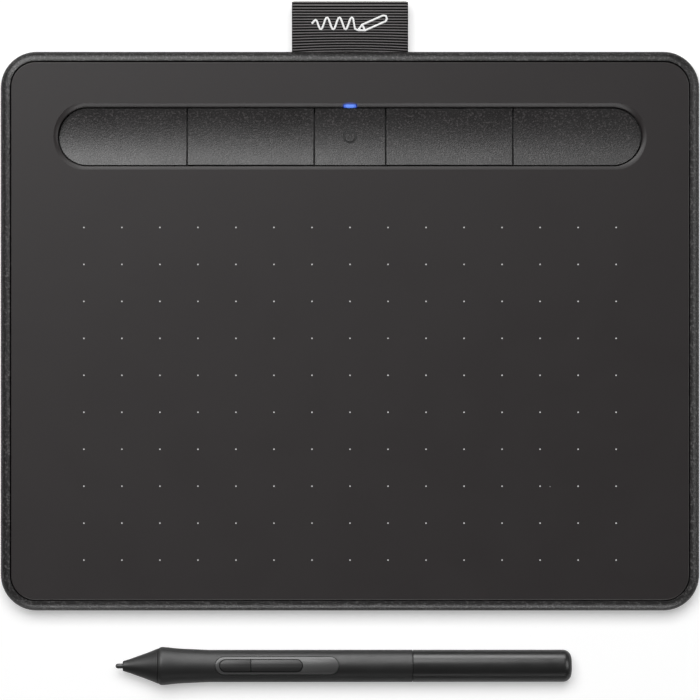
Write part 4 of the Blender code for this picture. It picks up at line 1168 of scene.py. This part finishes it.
raise_height(tree, shader, maths(tree, "MAXIMUM", track, pad), 0.02 * MM)

# %% Battery pouch: a crinkled foil
battery_finish, tree, shader = new_finish("battery foil", {"Metallic": 0.75})
crease = noise(tree, object_place(tree), 130.0, detail=4.0, roughness=0.6, distortion=1.5)
feed(shader, "Base Color", mix_colours(tree, crease, grey(0.42), grey(0.60)))
feed(shader, "Roughness", remap(tree, crease, 0.3, 0.7, 0.30, 0.48))
raise_height(tree, shader, crease, 0.12 * MM)


# %% Wires, ferrite, chip and lamp package
def soft_colour(name, colour, other, roughness, scale, depth):
    """A plain coloured part with a slight, slow change of shade and a soft relief."""
    material, tree, shader = new_finish(name, {"Roughness": roughness})
    cloud = noise(tree, object_place(tree), scale, detail=3.0)
    feed(shader, "Base Color", mix_colours(tree, cloud, colour, other))
    raise_height(tree, shader, cloud, depth)
    return material


red_wire_finish = soft_colour("red wire sleeve", (0.50, 0.02, 0.02, 1), (0.62, 0.05, 0.04, 1), 0.4, 900.0,
                              0.02 * MM)
black_wire_finish = soft_colour("black wire sleeve", grey(0.018), grey(0.030), 0.4, 900.0, 0.02 * MM)
ferrite_finish = soft_colour("sintered ferrite", grey(0.045), grey(0.080, -0.03), 0.5, 3500.0, 0.02 * MM)
chip_finish = soft_colour("chip resin", grey(0.020), grey(0.034), 0.6, 3000.0, 0.01 * MM)
led_finish = soft_colour("lamp package", (0.75, 0.78, 0.70, 1), (0.85, 0.86, 0.80, 1), 0.3, 1500.0, 0.01 * MM)

# %% [markdown]
# ## Dressing the pieces
# Each finish now goes to its pieces. The new pieces get theirs first, and the engineering model's own
# solids, which stay inside the casing and the pen, get theirs by name.

# %% Give every piece its finish
def dress(finish, pieces):
    for piece in pieces:
        if not piece.material_slots:
            piece.data.materials.append(finish)
        for held in piece.material_slots:
            held.material = finish


FRESH = {
    casing_finish: [casing], plate_finish: [plate], key_finish: caps.values(), mark_finish: [mark],
    lamp_finish: [lamp], dot_finish: [dots], rubber_finish: feet, screw_finish: screws,
    sheet_steel_finish: [socket], nose_finish: [nose], grip_finish: [grip], barrel_finish: [barrel],
    bezel_finish: [bezel], button_finish: buttons, nib_finish: [nib], ribbon_finish: [ribbon],
    thread_finish: [sign],
}
for finish, pieces in FRESH.items():
    dress(finish, pieces)

# %% Dress the engineering model's own solids
CARRIED = {
    inner_finish: ["key_frame", "loop_clamp", "flex_connector", "battery_connector", "pen_chassis",
                   "pen_nib_holder", "pen_pressure_sensor", "spare_nib_holder",
                   *[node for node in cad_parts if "switch_" in node]],
    chip_finish: ["controller_chip"],
    sheet_steel_finish: ["radio_module", "shield_plate"],
    board_finish: ["sensor_board", "main_board", "pen_circuit_board"],
    battery_finish: ["battery"],
    red_wire_finish: ["battery_lead_red"],
    black_wire_finish: ["battery_lead_black"],
    flex_finish: ["flex_cable"],
    coil_finish: ["pen_coil"],
    ferrite_finish: ["pen_ferrite_core"],
    led_finish: ["status_led"],
    nib_finish: [f"spare_nib_{number}" for number in (1, 2, 3)],
}
for finish, nodes in CARRIED.items():
    dress(finish, [bpy.data.objects[node] for node in nodes])
print("solids dressed:", sum(len(nodes) for nodes in CARRIED.values()))

# %% [markdown]
# ## The studio
# The product lies on a white table. One softbox hangs at the back left, so the hollow of the keys catches
# it, and a weaker one on the right opens the other side. The rest only draw highlights: a low one in
# front for the tablet's rounded rims, one at the right for the trough's lip, and a tall one behind and a
# faint one in front for the pen's round back. The table has its own softbox high above. Light linking
# keeps each to what it is for.
#
# The table glows a little, but only towards the camera, as a lit sweep does: it stays white under soft
# shadows, and the black plastic doesn't mirror the glow. The camera looks straight down.

# %% The table
table = start("table", bpy.ops.mesh.primitive_plane_add, size=6)
table_finish, tree, shader = new_finish("white table", {"Roughness": 0.7, "Emission Color": (1, 1, 1, 1)})
table_cloud = noise(tree, object_place(tree), 3.0)
feed(shader, "Base Color", mix_colours(tree, table_cloud, grey(0.66), grey(0.68)))
seen_directly = tree.nodes.new("ShaderNodeLightPath").outputs["Is Camera Ray"]
feed(shader, "Emission Strength", maths(tree, "MULTIPLY", seen_directly, 0.42))
dress(table_finish, [table])

# %% The camera
camera_data = bpy.data.cameras.new("camera")
camera_data.lens, camera_data.sensor_width = 178.5, 36
camera_data.clip_start, camera_data.clip_end = 0.01, 10
PICTURE_MIDDLE_Y, CAMERA_HEIGHT = TABLET_Y - 5.4 * MM, 1.0
camera = show(bpy.data.objects.new("camera", camera_data))
camera.location = (0, PICTURE_MIDDLE_Y, CAMERA_HEIGHT)
bpy.context.scene.camera = camera


# %% The softboxes
def softbox(name, from_above, from_back, distance, size, radiance, lit):
    """A lamp that faces the product. Its angles are from the vertical and, round it, from the back."""
    data = bpy.data.lights.new(name, "AREA")
    data.shape, (data.size, data.size_y) = "RECTANGLE", size
    data.energy = radiance * math.pi * size[0] * size[1]
    box = show(bpy.data.objects.new(name, data))
    polar, round_it = math.radians(from_above), math.radians(from_back)
    sideways, backwards = -math.sin(polar) * math.sin(round_it), math.sin(polar) * math.cos(round_it)
    direction = Vector((sideways, backwards, math.cos(polar)))
    box.location = direction * distance
    box.rotation_euler = direction.to_track_quat("Z", "Y").to_euler()
    receivers = box.light_linking.receiver_collection = bpy.data.collections.new(name)
    for piece in lit:
        receivers.objects.link(piece)
    print(f"{name}: {data.energy:.1f} W")


tablet_pieces = [casing, plate, *caps.values(), mark, socket]
pen_pieces = [nose, grip, barrel, bezel, nib, *buttons]
product = [piece for piece in bpy.data.objects if piece.type == "MESH" and piece != table]
all_but_plate = [piece for piece in product if piece != plate]
softbox("back left softbox", 42, 30, 1.0, (0.8, 0.6), 8.6, lit=product)
softbox("right softbox", 56, -82, 1.2, (0.8, 0.6), 3.6, lit=all_but_plate)
softbox("tablet strip", 66, 180, 1.3, (1.4, 0.20), 15.5, lit=tablet_pieces)
softbox("trough strip", 74, -80, 1.2, (0.9, 0.2), 11.0, lit=[plate])
softbox("pen softbox", 75, 0, 1.3, (1.2, 0.6), 7.2, lit=pen_pieces)
softbox("pen strip", 66, 180, 1.3, (1.4, 0.12), 2.8, lit=pen_pieces)
softbox("table softbox", 20, 10, 1.3, (1.0, 0.7), 8.0, lit=[table])

world = bpy.data.worlds.new("room")
world.use_nodes = True
background = world.node_tree.nodes["Background"].inputs
background["Color"].default_value, background["Strength"].default_value = (1, 1, 1, 1), 0.04
bpy.context.scene.world = world
bpy.context.scene.view_settings.view_transform = "Standard"
